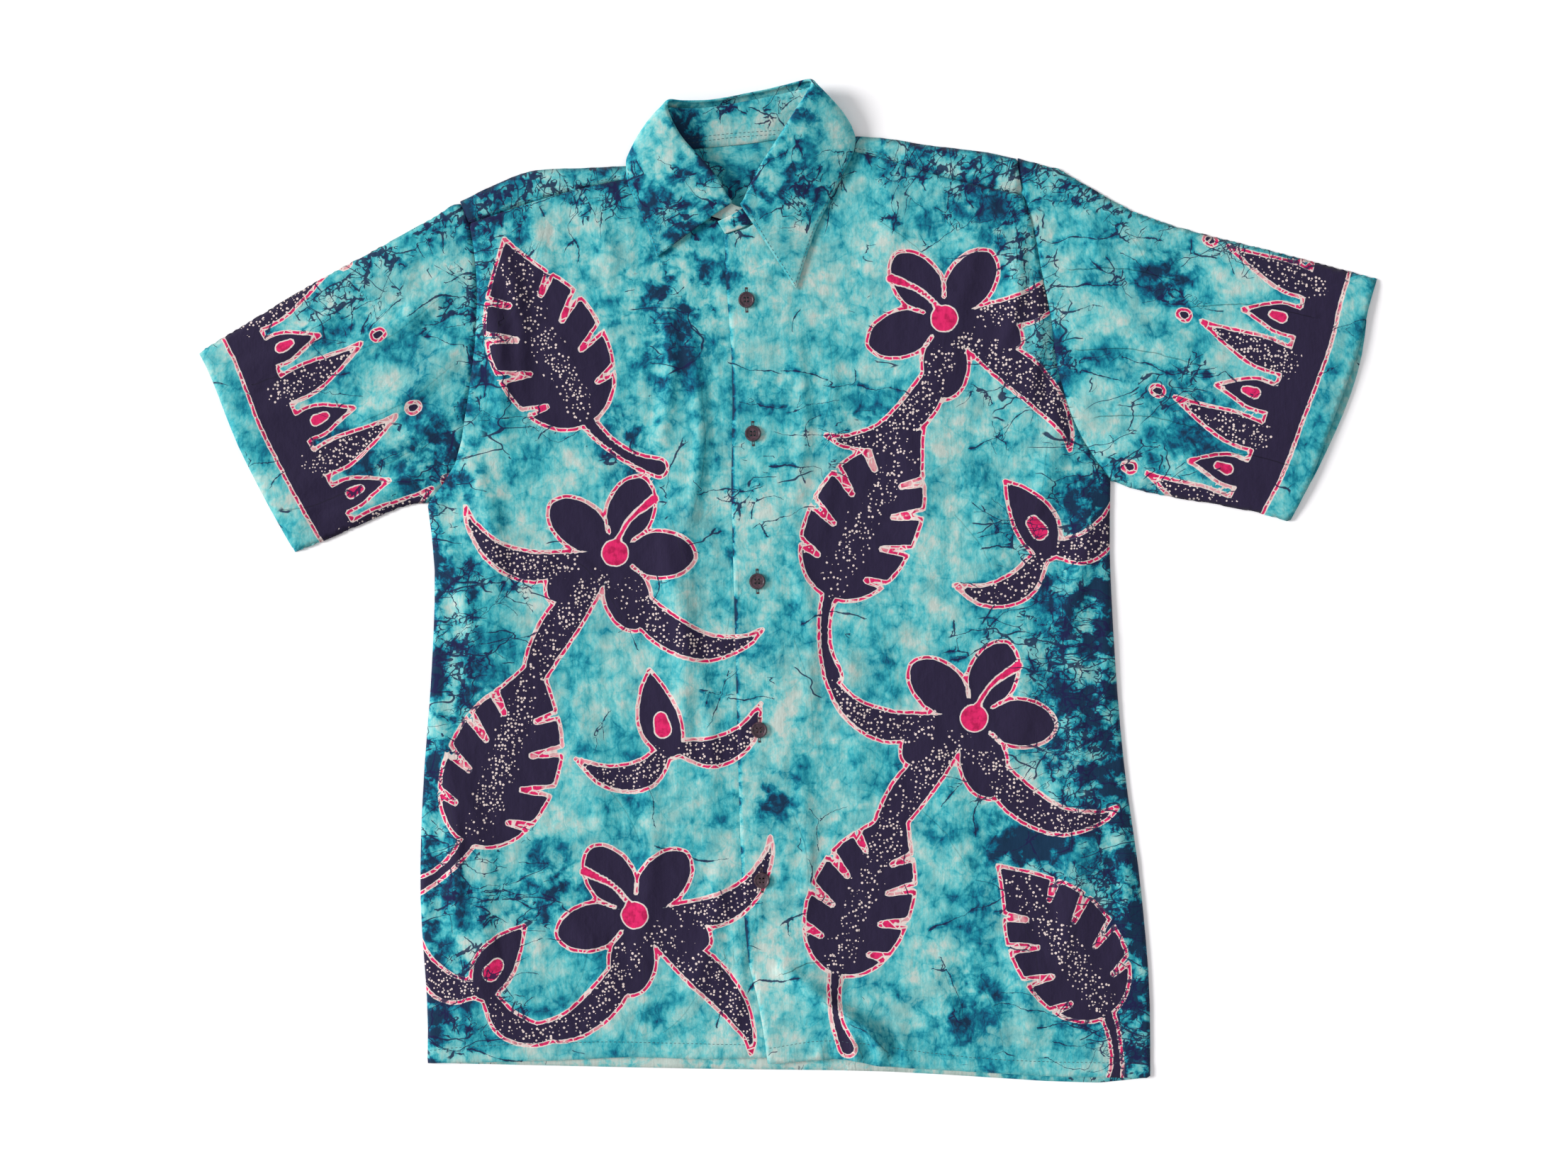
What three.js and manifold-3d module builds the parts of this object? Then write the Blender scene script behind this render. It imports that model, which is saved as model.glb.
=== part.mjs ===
// A short-sleeved batik shirt with a pointed collar on a band, buttoned and laid flat on its back.
// Units are millimetres. +X runs to the wearer's left, +Y from hem to collar, +Z up from the surface.
// x = 0 is the line of the buttons and y = 0 the level of the hem; the finished group is then moved
// so that its origin is the middle of the outline, on the surface.
import * as THREE from "three";
import { mergeVertices } from "three/addons/utils/BufferGeometryUtils.js";
import Module from "manifold-3d";

const wasm = await Module();
wasm.setup();

// Driving dimensions.
const cloth = 1.2; // wall of one layer
const seamGap = 0.3; // between two pieces that meet
const layerStep = cloth + seamGap; // from one layer to the next
const frontEdge = -16; // overlap edge of the left front
const underlapEdge = 18; // hidden edge of the right front
const puff = 2.2; // air between front and back in the middle of each panel
const sleevePuff = 3.2; // air inside the sleeve, half way across
const collarCloth = 1.4; // wall of the two-ply collar
const bandCloth = 1.2; // wall of the collar band
const rollRadius = 2.1; // the collar's middle line round the band's top edge
const bandReach = 0.91; // the band's height as a share of the way from neck to roll line

const button = { radius: 6.1, thick: 2.6, rim: 1.2, dish: 0.6, holeRadius: 0.8, holeReach: 1.85 };
const buttonhole = { length: 16, width: 0.8 };
const buttonPlaces = [
  { x: -1, y: 583.5 },
  { x: 1.2, y: 484 },
  { x: 1.6, y: 374 },
  { x: 0, y: 263.5 },
  { x: -0.9, y: 151.7 },
];

// Rows and columns of the cloth grids.
const sideRows = 17; // from hem to underarm
const armholeRows = 12; // from underarm to forward seam
const chestRows = 6; // the part of them below the front of the neck
const frontColumns = 18;
const sleeveStations = 9;

// Outlines, seen from above. Right and left are the wearer's.
const rightSide = [
  { x: -254, y: 21 },
  { x: -253, y: 65 },
  { x: -256, y: 145 },
  { x: -252, y: 225 },
  { x: -244, y: 305 },
  { x: -239, y: 385 },
  { x: -243, y: 438 },
];
const leftSide = [
  { x: 285, y: -4 },
  { x: 286, y: 65 },
  { x: 281, y: 145 },
  { x: 272, y: 225 },
  { x: 267, y: 305 },
  { x: 265, y: 385 },
  { x: 267, y: 442 },
];
const rightArmhole = [
  { x: -243, y: 438 },
  { x: -221, y: 468 },
  { x: -212, y: 507 },
  { x: -206, y: 543 },
  { x: -202, y: 580 },
  { x: -202, y: 616 },
  { x: -206, y: 646 },
];
const leftArmhole = [
  { x: 267, y: 442 },
  { x: 252, y: 464 },
  { x: 239, y: 490 },
  { x: 229, y: 528 },
  { x: 225, y: 566 },
  { x: 219, y: 597 },
  { x: 213, y: 635 },
  { x: 207, y: 656 },
];
// The shoulder folds run from armhole to neck, and the forward seams lie in front of them.
const rightShoulder = [
  { x: -213, y: 663 },
  { x: -185, y: 676 },
  { x: -157, y: 685 },
  { x: -118, y: 686 },
  { x: -77, y: 687 },
];
const leftShoulder = [
  { x: 203, y: 684 },
  { x: 180, y: 690 },
  { x: 139, y: 696 },
  { x: 100, y: 703 },
  { x: 60, y: 705 },
];
const rightSeam = [
  { x: -206, y: 646 },
  { x: -155, y: 662 },
  { x: -118, y: 671 },
  { x: -75, y: 679 },
];
const leftSeam = [
  { x: 207, y: 656 },
  { x: 144, y: 673 },
  { x: 100, y: 688 },
  { x: 59, y: 697 },
];
const backNeck = [
  { x: -77, y: 687 },
  { x: -47, y: 696 },
  { x: -6, y: 699 },
  { x: 29, y: 703 },
  { x: 60, y: 705 },
];
const rightNeck = [
  { x: underlapEdge, y: 640 },
  { x: -3, y: 640 },
  { x: -25, y: 645 },
  { x: -50, y: 656 },
  { x: -68, y: 671 },
  { x: -75, y: 679 },
];
const leftNeck = [
  { x: frontEdge, y: 632 },
  { x: 3, y: 638 },
  { x: 26, y: 654 },
  { x: 46, y: 675 },
  { x: 59, y: 697 },
];
const backHem = [
  { x: -254, y: 21 },
  { x: -152, y: 16 },
  { x: -45, y: 11 },
  { x: 80, y: 6 },
  { x: 178, y: -2 },
  { x: 240, y: -7 },
  { x: 285, y: -4 },
];
const rightHem = [
  { x: -254, y: 21 },
  { x: -152, y: 21 },
  { x: -103, y: 22 },
  { x: -45, y: 19 },
  { x: underlapEdge, y: 19 },
];
const leftHem = [
  { x: 285, y: -4 },
  { x: 220, y: -1 },
  { x: 156, y: 4 },
  { x: 80, y: 11 },
  { x: 55, y: 17 },
  { x: 0, y: 14 },
];
// The overlap edge swings to the wearer's left near the hem.
const overlapLow = [
  { x: 0, y: 14 },
  { x: -5, y: 56 },
  { x: -13, y: 98 },
  { x: frontEdge, y: 180 },
  { x: frontEdge, y: 320 },
  { x: frontEdge, y: 445 },
];
const overlapHigh = [
  { x: frontEdge, y: 445 },
  { x: -13, y: 530 },
  { x: frontEdge, y: 600 },
  { x: frontEdge, y: 632 },
];
const underlapLow = [
  { x: underlapEdge, y: 19 },
  { x: underlapEdge, y: 440 },
];
const underlapHigh = [
  { x: underlapEdge, y: 440 },
  { x: underlapEdge, y: 640 },
];
// Sleeves: the fold along the top, the seam along the underarm and the hem across the arm.
const rightSleeve = {
  armhole: rightArmhole,
  top: [
    { x: -213, y: 663 },
    { x: -256, y: 640 },
    { x: -319, y: 608 },
    { x: -362, y: 584 },
    { x: -411, y: 556 },
  ],
  under: [
    { x: -243, y: 438 },
    { x: -263, y: 436 },
    { x: -315, y: 415 },
    { x: -343, y: 405 },
  ],
  hem: [
    { x: -343, y: 405 },
    { x: -362, y: 442 },
    { x: -380, y: 480 },
    { x: -388, y: 500 },
    { x: -402, y: 538 },
    { x: -411, y: 556 },
  ],
  away: -1,
  underlayerShows: 1,
};
const leftSleeve = {
  armhole: leftArmhole,
  top: [
    { x: 203.4, y: 684 },
    { x: 237, y: 675 },
    { x: 277, y: 649 },
    { x: 320, y: 631 },
    { x: 395, y: 610 },
    { x: 470, y: 588 },
  ],
  under: [
    { x: 267, y: 442 },
    { x: 291, y: 433 },
    { x: 365, y: 418 },
    { x: 400, y: 408 },
  ],
  hem: [
    { x: 400, y: 408 },
    { x: 415, y: 437 },
    { x: 431, y: 477 },
    { x: 452, y: 530 },
    { x: 461, y: 562 },
    { x: 470, y: 588 },
  ],
  away: 1,
  underlayerShows: 7,
};

// Largest folds of each front: soft ridges from one point to another, highest half way along.
const rightFolds = [
  { name: "side, low", x0: -222, y0: -10, x1: -226, y1: 330, rise: 2.6, halfWidth: 24 },
  { name: "side, high", x0: -196, y0: 190, x1: -206, y1: 560, rise: 2.4, halfWidth: 24 },
  { name: "beside the overlap", x0: -60, y0: 150, x1: -52, y1: 610, rise: 2.6, halfWidth: 24 },
  { name: "armhole", x0: -182, y0: 640, x1: -180, y1: 470, rise: 2.2, halfWidth: 22 },
];
const leftFolds = [
  { name: "hem diagonal", x0: 8, y0: 84, x1: 92, y1: 14, rise: 4, halfWidth: 20 },
  { name: "hem wave", x0: 62, y0: 62, x1: 64, y1: -8, rise: 2.6, halfWidth: 20 },
  { name: "chest", x0: 150, y0: 640, x1: 118, y1: 300, rise: 2, halfWidth: 28 },
  { name: "side", x0: 238, y0: 40, x1: 236, y1: 400, rise: 2.4, halfWidth: 24 },
  { name: "armhole", x0: 190, y0: 640, x1: 204, y1: 480, rise: 2.4, halfWidth: 22 },
];

// The collar and its band, station by station from the wearer's right front, round the back of the
// neck, to the left front: what the band is sewn to and where, the roll line where the collar folds,
// a point half way down the collar, and its free edge.
const collarStations = [
  { on: "right", neck: [-2, 641], roll: [-10, 656, 6.6], mid: [-40, 636, 7.6], edge: [-67, 617, 6.3] },
  { on: "right", neck: [-30, 648.4], roll: [-20.5, 671.5, 9.4], mid: [-47, 652, 9], edge: [-73, 637, 6.2] },
  { on: "right", neck: [-54, 660.6], roll: [-33, 686.5, 11.6], mid: [-58, 669, 10.4], edge: [-80, 655, 6] },
  { on: "right", neck: [-69, 675], roll: [-47, 702, 13.2], mid: [-69, 686, 11.4], edge: [-87, 672, 5.8] },
  { on: "shoulder", neck: [-73, 684], roll: [-54, 715, 15.5], mid: [-74, 700, 12.2], edge: [-88, 684, 6] },
  { on: "back", neck: [-69.5, 691.2], roll: [-57, 724, 17.8], mid: [-76, 710, 11], edge: [-86, 694, 4.4] },
  { on: "back", neck: [-61, 694.6], roll: [-54.5, 729, 17.2], mid: [-67, 719, 8.6], edge: [-77, 700, 1.8] },
  { on: "back", neck: [-50, 696.6], roll: [-45, 729, 13.6], mid: [-52, 721, 6], edge: [-60, 704, 1] },
  { on: "back", neck: [-30, 698.8], roll: [-24, 729.5, 10.6], mid: [-26, 720, 4.4], edge: [-30, 706, 0.9] },
  { on: "back", neck: [0, 700.6], roll: [4, 734, 10], mid: [4, 724, 4.2], edge: [4, 708, 0.9] },
  { on: "back", neck: [28, 704], roll: [27, 738, 10.6], mid: [32, 727, 4.6], edge: [36, 712, 0.9] },
  { on: "back", neck: [45, 705.7], roll: [42, 741, 12.6], mid: [50, 730, 5.6], edge: [56, 714, 1] },
  { on: "shoulder", neck: [55, 706.5], roll: [50.5, 741.5, 16.5], mid: [65, 728, 8.6], edge: [73, 714, 1.8] },
  { on: "shoulder", neck: [58, 701], roll: [52.5, 738, 18.6], mid: [74, 720, 11.6], edge: [82, 706, 4.6] },
  { on: "left", neck: [56.4, 694.7], roll: [47.5, 730, 18.4], mid: [73, 712, 13], edge: [82, 694, 6.4] },
  { on: "left", neck: [52.4, 688.6], roll: [38, 716, 16.4], mid: [62, 700, 13], edge: [77, 682, 6.4] },
  { on: "left", neck: [47.6, 680.4], roll: [28, 701, 14.6], mid: [52, 685, 12.6], edge: [69, 668, 6.2] },
  { on: "left", neck: [34.8, 665.4], roll: [15.5, 683, 12.8], mid: [40, 665, 11.4], edge: [60, 650, 6.2] },
  { on: "left", neck: [17.2, 649.1], roll: [4, 663, 11], mid: [28, 645, 10.4], edge: [50, 630, 6.6] },
  { on: "left", neck: [0.4, 638.6], roll: [-3, 652, 10], mid: [17, 621, 9.8], edge: [36, 590, 7.2] },
];
// The band runs on past the collar at both ends: hidden on the right, to the overlap edge on the left.
const bandEnds = {
  right: { on: "right", neck: [15, 641], roll: [9, 652, 4.2] },
  left: { on: "left", neck: [-15.8, 633.2], roll: [-21.5, 643.5, 6.4] },
};
const collarSteps = 3; // grid columns from one station to the next
const bandRows = 3;
const collarRows = 4; // from the roll to the free edge

const point2 = (row) => new THREE.Vector2(row.x, row.y);
const smooth = (t) => THREE.MathUtils.smoothstep(t, 0, 1);
const transpose = (grid) => grid[0].map((_, i) => grid.map((row) => row[i]));
const join = (...lines) => lines.reduce((all, line) => [...all, ...line.slice(1)]);

// Evenly spaced points along the smooth line through a table's rows.
function along(rows, count) {
  const curve = new THREE.SplineCurve(rows.map(point2));
  curve.arcLengthDivisions = 400;
  return Array.from({ length: count + 1 }, (_, i) => curve.getPointAt(i / count));
}

// Rows of points between two edges with equally many points. The first row follows `first` and the
// last row `last`.
function patch(edgeA, edgeB, columns, first, last) {
  const rows = edgeA.length - 1;
  const straight = (line, t) => line[0].clone().lerp(line[columns], t);
  return edgeA.map((a, i) => {
    const v = i / rows;
    return Array.from({ length: columns + 1 }, (_, j) => {
      const u = j / columns;
      const p = a.clone().lerp(edgeB[i], u);
      p.add(first[j].clone().sub(straight(first, u)).multiplyScalar((1 - v) ** 6));
      return p.add(last[j].clone().sub(straight(last, u)).multiplyScalar(v ** 3));
    });
  });
}

// A closed mesh between a grid of upper points and a grid of lower points. A ring grid closes on itself.
function wall(upper, lower, ring = false) {
  const rows = upper.length;
  const columns = upper[0].length;
  const positions = [...upper.flat(), ...lower.flat()].flatMap((p) => [p.x, p.y, p.z]);
  const at = (side, i, j) => side * rows * columns + i * columns + (j % columns);
  const index = [];
  const quad = (a, b, c, d) => index.push(a, b, c, a, c, d);
  const spans = ring ? columns : columns - 1;
  for (let i = 0; i < rows - 1; i++)
    for (let j = 0; j < spans; j++) {
      quad(at(0, i, j), at(0, i, j + 1), at(0, i + 1, j + 1), at(0, i + 1, j));
      quad(at(1, i, j), at(1, i + 1, j), at(1, i + 1, j + 1), at(1, i, j + 1));
    }
  for (let j = 0; j < spans; j++) {
    quad(at(1, 0, j), at(1, 0, j + 1), at(0, 0, j + 1), at(0, 0, j));
    quad(at(0, rows - 1, j), at(0, rows - 1, j + 1), at(1, rows - 1, j + 1), at(1, rows - 1, j));
  }
  if (!ring)
    for (let i = 0; i < rows - 1; i++) {
      quad(at(0, i, 0), at(0, i + 1, 0), at(1, i + 1, 0), at(1, i, 0));
      quad(at(1, i, spans), at(1, i + 1, spans), at(0, i + 1, spans), at(0, i, spans));
    }
  const geometry = new THREE.BufferGeometry();
  geometry.setAttribute("position", new THREE.Float32BufferAttribute(positions, 3));
  geometry.setIndex(index);
  return facingOut(geometry);
}

// Turns a closed mesh so that its faces point out.
function facingOut(geometry) {
  const p = geometry.getAttribute("position");
  const index = geometry.index.array;
  const [a, b, c] = [new THREE.Vector3(), new THREE.Vector3(), new THREE.Vector3()];
  let volume = 0;
  for (let i = 0; i < index.length; i += 3) {
    a.fromBufferAttribute(p, index[i]);
    b.fromBufferAttribute(p, index[i + 1]);
    c.fromBufferAttribute(p, index[i + 2]);
    volume += a.dot(b.cross(c));
  }
  if (volume < 0) for (let i = 0; i < index.length; i += 3) [index[i], index[i + 1]] = [index[i + 1], index[i]];
  return geometry;
}

// A wall half its thickness to each side of a grid of middle points.
function thicken(middle, thick) {
  const lastRow = middle.length - 1;
  const lastColumn = middle[0].length - 1;
  const shifted = (sign) =>
    middle.map((row, i) =>
      row.map((p, j) => {
        const across = middle[Math.min(i + 1, lastRow)][j].clone().sub(middle[Math.max(i - 1, 0)][j]);
        const forward = row[Math.min(j + 1, lastColumn)].clone().sub(row[Math.max(j - 1, 0)]);
        const normal = forward.cross(across).normalize();
        return p.clone().addScaledVector(normal, (sign * thick) / 2);
      }),
    );
  return wall(shifted(1), shifted(-1));
}

// Solids of manifold-3d, for joining and cutting.
function solid(geometry) {
  const bare = new THREE.BufferGeometry();
  bare.setAttribute("position", geometry.getAttribute("position"));
  bare.setIndex(geometry.index);
  const merged = mergeVertices(bare, 1e-4);
  return new wasm.Manifold(
    new wasm.Mesh({
      numProp: 3,
      vertProperties: merged.getAttribute("position").array,
      triVerts: new Uint32Array(merged.index.array),
    }),
  );
}

function geometryOf(body) {
  const mesh = body.getMesh();
  const geometry = new THREE.BufferGeometry();
  geometry.setAttribute("position", new THREE.BufferAttribute(mesh.vertProperties, 3));
  geometry.setIndex(new THREE.BufferAttribute(mesh.triVerts, 1));
  return geometry;
}

const cutFrom = (body, cutters) => cutters.reduce((rest, cutter) => rest.subtract(cutter), body);

// Height of one fold at a point: full along its middle, fading to both ends and both sides.
function foldHeight(fold, x, y) {
  const run = new THREE.Vector2(fold.x1 - fold.x0, fold.y1 - fold.y0);
  const length = run.length();
  const [dx, dy] = [x - fold.x0, y - fold.y0];
  const t = (dx * run.x + dy * run.y) / length ** 2;
  const side = Math.abs(dx * run.y - dy * run.x) / length / fold.halfWidth;
  if (t <= 0 || t >= 1 || side >= 1) return 0;
  return fold.rise * Math.sin(Math.PI * t) * 0.5 * (1 + Math.cos(Math.PI * side));
}

// Air under the fronts: none at the sides, little at the hem and the shoulders, more in the middle.
function air(x, y) {
  const fromSide = Math.min(x + 250, 280 - x) / 60;
  const fromHem = (y + 5) / 90;
  const fromShoulder = (690 - y) / 60;
  return puff * smooth(fromSide) * (0.35 + 0.65 * smooth(fromHem)) * smooth(fromShoulder);
}

const withFolds = (folds, x, y) => folds.reduce((sum, fold) => sum + foldHeight(fold, x, y), air(x, y));
const rightFrontZ = (x, y) => layerStep + withFolds(rightFolds, x, y);
// The left front steps down off the hidden edge of the right front.
const stepEnd = underlapEdge + 32;
const stepRun = 26;
const leftFrontZ = (x, y) =>
  layerStep + withFolds(leftFolds, x, y) + (layerStep + 0.1) * smooth((stepEnd - x) / stepRun);

// One front, side and armhole on one edge, the closing edge and the neck on the other.
function frontPanel({ side, armhole, edgeLow, edgeHigh, neck, hem, seam, lowZ }) {
  const neckRows = armholeRows - chestRows;
  const outer = join(along(side, sideRows), along(armhole, armholeRows));
  const inner = join(along(edgeLow, sideRows), along(edgeHigh, chestRows), along(neck, neckRows));
  const points = patch(outer, inner, frontColumns, along(hem, frontColumns), along(seam, frontColumns));
  const level = (lift) => points.map((row) => row.map((p) => new THREE.Vector3(p.x, p.y, lowZ(p.x, p.y) + lift)));
  return wall(level(cloth), level(0));
}

// The armhole from the underarm to the shoulder fold, past the forward seam.
const armholeLine = (armhole, shoulder) => [...along(armhole, armholeRows), point2(shoulder[0])];

// The back lies on the surface, and at each shoulder it is folded up and forward to the front seam.
function backPanel() {
  const outline = join(
    along(rightSide, sideRows),
    armholeLine(rightArmhole, rightShoulder),
    along(rightShoulder, frontColumns),
    along(backNeck, 10),
    along([...leftShoulder].reverse(), frontColumns),
    armholeLine(leftArmhole, leftShoulder).reverse(),
    along([...leftSide].reverse(), sideRows),
    along([...backHem].reverse(), 14).slice(0, -1),
  );
  const flat = new THREE.ExtrudeGeometry(new THREE.Shape(outline), { depth: cloth, bevelEnabled: false });
  return geometryOf(
    solid(facingOut(bareMesh(flat)))
      .add(solid(shoulderFold(rightShoulder, rightSeam)))
      .add(solid(shoulderFold(leftShoulder, leftSeam))),
  );
}

function bareMesh(geometry) {
  const bare = new THREE.BufferGeometry();
  bare.setAttribute("position", geometry.getAttribute("position"));
  if (geometry.index) bare.setIndex(geometry.index);
  return mergeVertices(bare, 1e-4);
}

// The strip from inside the flat back, round the shoulder fold, to just short of the forward seam.
function shoulderFold(foldLine, seamLine) {
  const foldRadius = layerStep / 2;
  const seam = along(seamLine, frontColumns);
  const tuck = 7; // how far the strip's start lies inside the flat back
  const seamClearance = 2 * seamGap;
  const lines = along(foldLine, frontColumns).map((p, j) => {
    const forward = seam[j].clone().sub(p);
    const run = forward.length();
    forward.normalize();
    const centre = p.clone().addScaledVector(forward, foldRadius + cloth / 2);
    const at = (reach, z) => new THREE.Vector3(centre.x + forward.x * reach, centre.y + forward.y * reach, z);
    const bend = [0, 60, 120, 180].map((degrees) => {
      const a = THREE.MathUtils.degToRad(degrees);
      return at(-foldRadius * Math.sin(a), cloth / 2 + foldRadius * (1 - Math.cos(a)));
    });
    const end = at(run - foldRadius - cloth / 2 - seamClearance, layerStep + cloth / 2);
    end.z += air(end.x, end.y);
    return [at(tuck, cloth / 2), ...bend, end];
  });
  return thicken(transpose(lines), cloth * 0.94);
}

// A flattened tube: a ring of cloth at each station from armhole to hem.
function sleeve({ armhole, top, under, hem, away, underlayerShows }) {
  const arm = armholeLine(armhole, top);
  const last = arm.length - 1;
  const start = arm.map((p, j) => {
    const run = arm[Math.min(j + 1, last)].clone().sub(arm[Math.max(j - 1, 0)]).normalize();
    return p.clone().add(new THREE.Vector2(run.y, -run.x).multiplyScalar(away * 1.3 * seamGap));
  });
  const cuff = along(hem, last);
  const underEdge = along(under, sleeveStations);
  const topEdge = along(top, sleeveStations);
  const stations = underEdge.map((low, i) => {
    const u = i / sleeveStations;
    return start.map((p, j) => {
      const v = j / last;
      const edges = low.clone().lerp(topEdge[i], v);
      const armEnds = arm[0].clone().lerp(arm[last], v);
      const cuffEnds = cuff[0].clone().lerp(cuff[last], v);
      return p.clone().lerp(cuff[j], u).add(edges).sub(armEnds.lerp(cuffEnds, u));
    });
  });
  const rings = (inset) => stations.map((line, i) => sleeveRing(line, i / sleeveStations, inset, away * underlayerShows));
  return wall(rings(0), rings(cloth), true);
}

// One ring: round the underarm edge, up the top layer, round the shoulder fold and back underneath.
function sleeveRing(line, u, inset, shows) {
  const height = 2 * cloth + seamGap;
  const last = line.length - 1;
  const across = line[last].clone().sub(line[0]).normalize();
  const cornerReach = 1.1;
  const cornerDrop = inset ? 0 : 0.35;
  const fullness = sleevePuff * (0.8 + 0.2 * smooth(u));
  const place = (p, reach, z) => new THREE.Vector3(p.x + across.x * reach, p.y + across.y * reach, z);
  const inner = line.slice(1, last);
  const bulge = (k) => Math.sin((Math.PI * (k + 1)) / last);
  const upper = inner.map((p, k) => place(p, 0, height - inset + fullness * bulge(k) ** 0.8));
  const lower = inner.map((p, k) => {
    const q = place(p, 0, inset);
    q.x += shows * smooth((u - 0.7) / 0.3) * bulge(k) ** 2;
    return q;
  });
  const edge = (p, sign) => [
    place(p, sign * (inset + cornerReach), height - inset - cornerDrop),
    place(p, sign * inset, height / 2),
    place(p, sign * (inset + cornerReach), inset + cornerDrop),
  ];
  const [underTop, underMiddle, underLow] = edge(line[0], 1);
  return [underMiddle, underTop, ...upper, ...edge(line[last], -1), ...lower.reverse(), underLow];
}

// What the band is sewn to: height of that cloth's middle at a point.
const seat = {
  right: (x, y) => rightFrontZ(x, y) + cloth / 2,
  left: (x, y) => leftFrontZ(x, y) + cloth / 2,
  shoulder: () => 2 * layerStep - cloth / 2 + seamGap,
  back: () => cloth / 2 + 0.2,
};
const bandStations = [bandEnds.right, ...collarStations, bandEnds.left].map((station) => {
  const [x, y] = station.neck;
  return { ...station, neck: [x, y, seat[station.on](x, y)] };
});

// The smooth line through one column of the stations, with even steps between them.
function stationLine(stations, name) {
  const points = stations.map((station) => new THREE.Vector3(...station[name]));
  const curve = new THREE.CatmullRomCurve3(points, false, "catmullrom", 0.5);
  const count = (points.length - 1) * collarSteps;
  return Array.from({ length: count + 1 }, (_, i) => curve.getPoint(i / count));
}

const neckLine = stationLine(bandStations, "neck");
const rollLine = stationLine(bandStations, "roll");

function collarBand() {
  const rows = Array.from({ length: bandRows + 1 }, (_, i) =>
    neckLine.map((p, j) => p.clone().lerp(rollLine[j], (bandReach * i) / bandRows)),
  );
  return thicken(rows, bandCloth);
}

// The collar starts inside the band's top edge, rolls over it and falls to its free edge.
function collarFall() {
  const onCollar = (line) => line.slice(collarSteps, -collarSteps);
  const [neck, roll] = [neckLine, rollLine].map(onCollar);
  const mid = stationLine(collarStations, "mid");
  const edge = stationLine(collarStations, "edge");
  const last = roll.length - 1;
  const lines = roll.map((r, j) => {
    const run = roll[Math.min(j + 1, last)].clone().sub(roll[Math.max(j - 1, 0)]).normalize();
    const up = r.clone().sub(neck[j]).normalize();
    const out = up.clone().cross(run).normalize();
    const at = (rise, reach) => r.clone().addScaledVector(up, rise).addScaledVector(out, reach);
    const turn = [50, 80, 110, 145, 180].map((degrees) => {
      const a = THREE.MathUtils.degToRad(degrees);
      return at(rollRadius * Math.sin(a), -rollRadius * Math.cos(a));
    });
    const from = turn.at(-1);
    const through = mid[j].clone().multiplyScalar(2).addScaledVector(from, -0.5).addScaledVector(edge[j], -0.5);
    const fall = new THREE.QuadraticBezierCurve3(from, through, edge[j]).getPoints(collarRows).slice(1);
    return [...turn, ...fall];
  });
  return thicken(transpose(lines), collarCloth);
}

// A round four-hole button with a raised rim.
function buttonShape() {
  const { radius, thick, rim, dish, holeRadius, holeReach } = button;
  const profile = [
    [0, 0],
    [radius - 0.9, 0],
    [radius, thick * 0.5],
    [radius - 0.6, thick],
    [radius - rim, thick],
    [radius - rim - 0.6, thick - dish],
    [0, thick - dish],
  ].map(([r, z]) => new THREE.Vector2(r, z));
  const disc = new THREE.LatheGeometry(profile, 20).rotateX(Math.PI / 2);
  const hole = new THREE.CylinderGeometry(holeRadius, holeRadius, 3 * thick, 8).rotateX(Math.PI / 2);
  const holes = [45, 135, 225, 315].map((degrees) => {
    const a = THREE.MathUtils.degToRad(degrees);
    return solid(hole.clone().translate(holeReach * Math.cos(a), holeReach * Math.sin(a), thick));
  });
  return geometryOf(cutFrom(solid(facingOut(bareMesh(disc))), holes));
}

// Upright slots for the buttons, through the left front only.
function withButtonholes(geometry) {
  const slots = buttonPlaces.map(({ x, y }) => {
    const slot = new THREE.BoxGeometry(buttonhole.width, buttonhole.length, 4 * cloth);
    return solid(slot.translate(x, y, leftFrontZ(x, y) + cloth / 2));
  });
  return geometryOf(cutFrom(solid(geometry), slots));
}

const dyedCotton = new THREE.MeshStandardMaterial({ color: 0x2fa3ab, roughness: 0.85, metalness: 0 });
const insideCotton = new THREE.MeshStandardMaterial({ color: 0x6fb3ae, roughness: 0.9, metalness: 0 });
const plumPlastic = new THREE.MeshStandardMaterial({ color: 0x3d2630, roughness: 0.45, metalness: 0 });

const shirt = new THREE.Group();

function add(name, geometry, material) {
  const mesh = new THREE.Mesh(geometry, material);
  mesh.name = name;
  shirt.add(mesh);
  return mesh;
}

const frontRight = frontPanel({
  side: rightSide,
  armhole: rightArmhole,
  edgeLow: underlapLow,
  edgeHigh: underlapHigh,
  neck: rightNeck,
  hem: rightHem,
  seam: rightSeam,
  lowZ: rightFrontZ,
});
const frontLeft = frontPanel({
  side: leftSide,
  armhole: leftArmhole,
  edgeLow: overlapLow,
  edgeHigh: overlapHigh,
  neck: leftNeck,
  hem: leftHem,
  seam: leftSeam,
  lowZ: leftFrontZ,
});

add("back", backPanel(), insideCotton);
add("front_right", frontRight, dyedCotton);
add("front_left", withButtonholes(frontLeft), dyedCotton);
add("sleeve_right", sleeve(rightSleeve), dyedCotton);
add("sleeve_left", sleeve(leftSleeve), dyedCotton);
add("collar_band", collarBand(), insideCotton);
add("collar", collarFall(), dyedCotton);
buttonPlaces.forEach(({ x, y }, i) => {
  const mesh = add(`button_${i + 1}`, buttonShape(), plumPlastic);
  mesh.position.set(x, y, leftFrontZ(x, y) + cloth + seamGap);
});

const box = new THREE.Box3().setFromObject(shirt);
shirt.position.set(-(box.min.x + box.max.x) / 2, -(box.min.y + box.max.y) / 2, -box.min.z);

export default shirt;
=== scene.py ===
import math
import random
import bmesh
import bpy
import numpy as np
from mathutils import Matrix, Vector, noise
from mathutils.bvhtree import BVHTree


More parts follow.
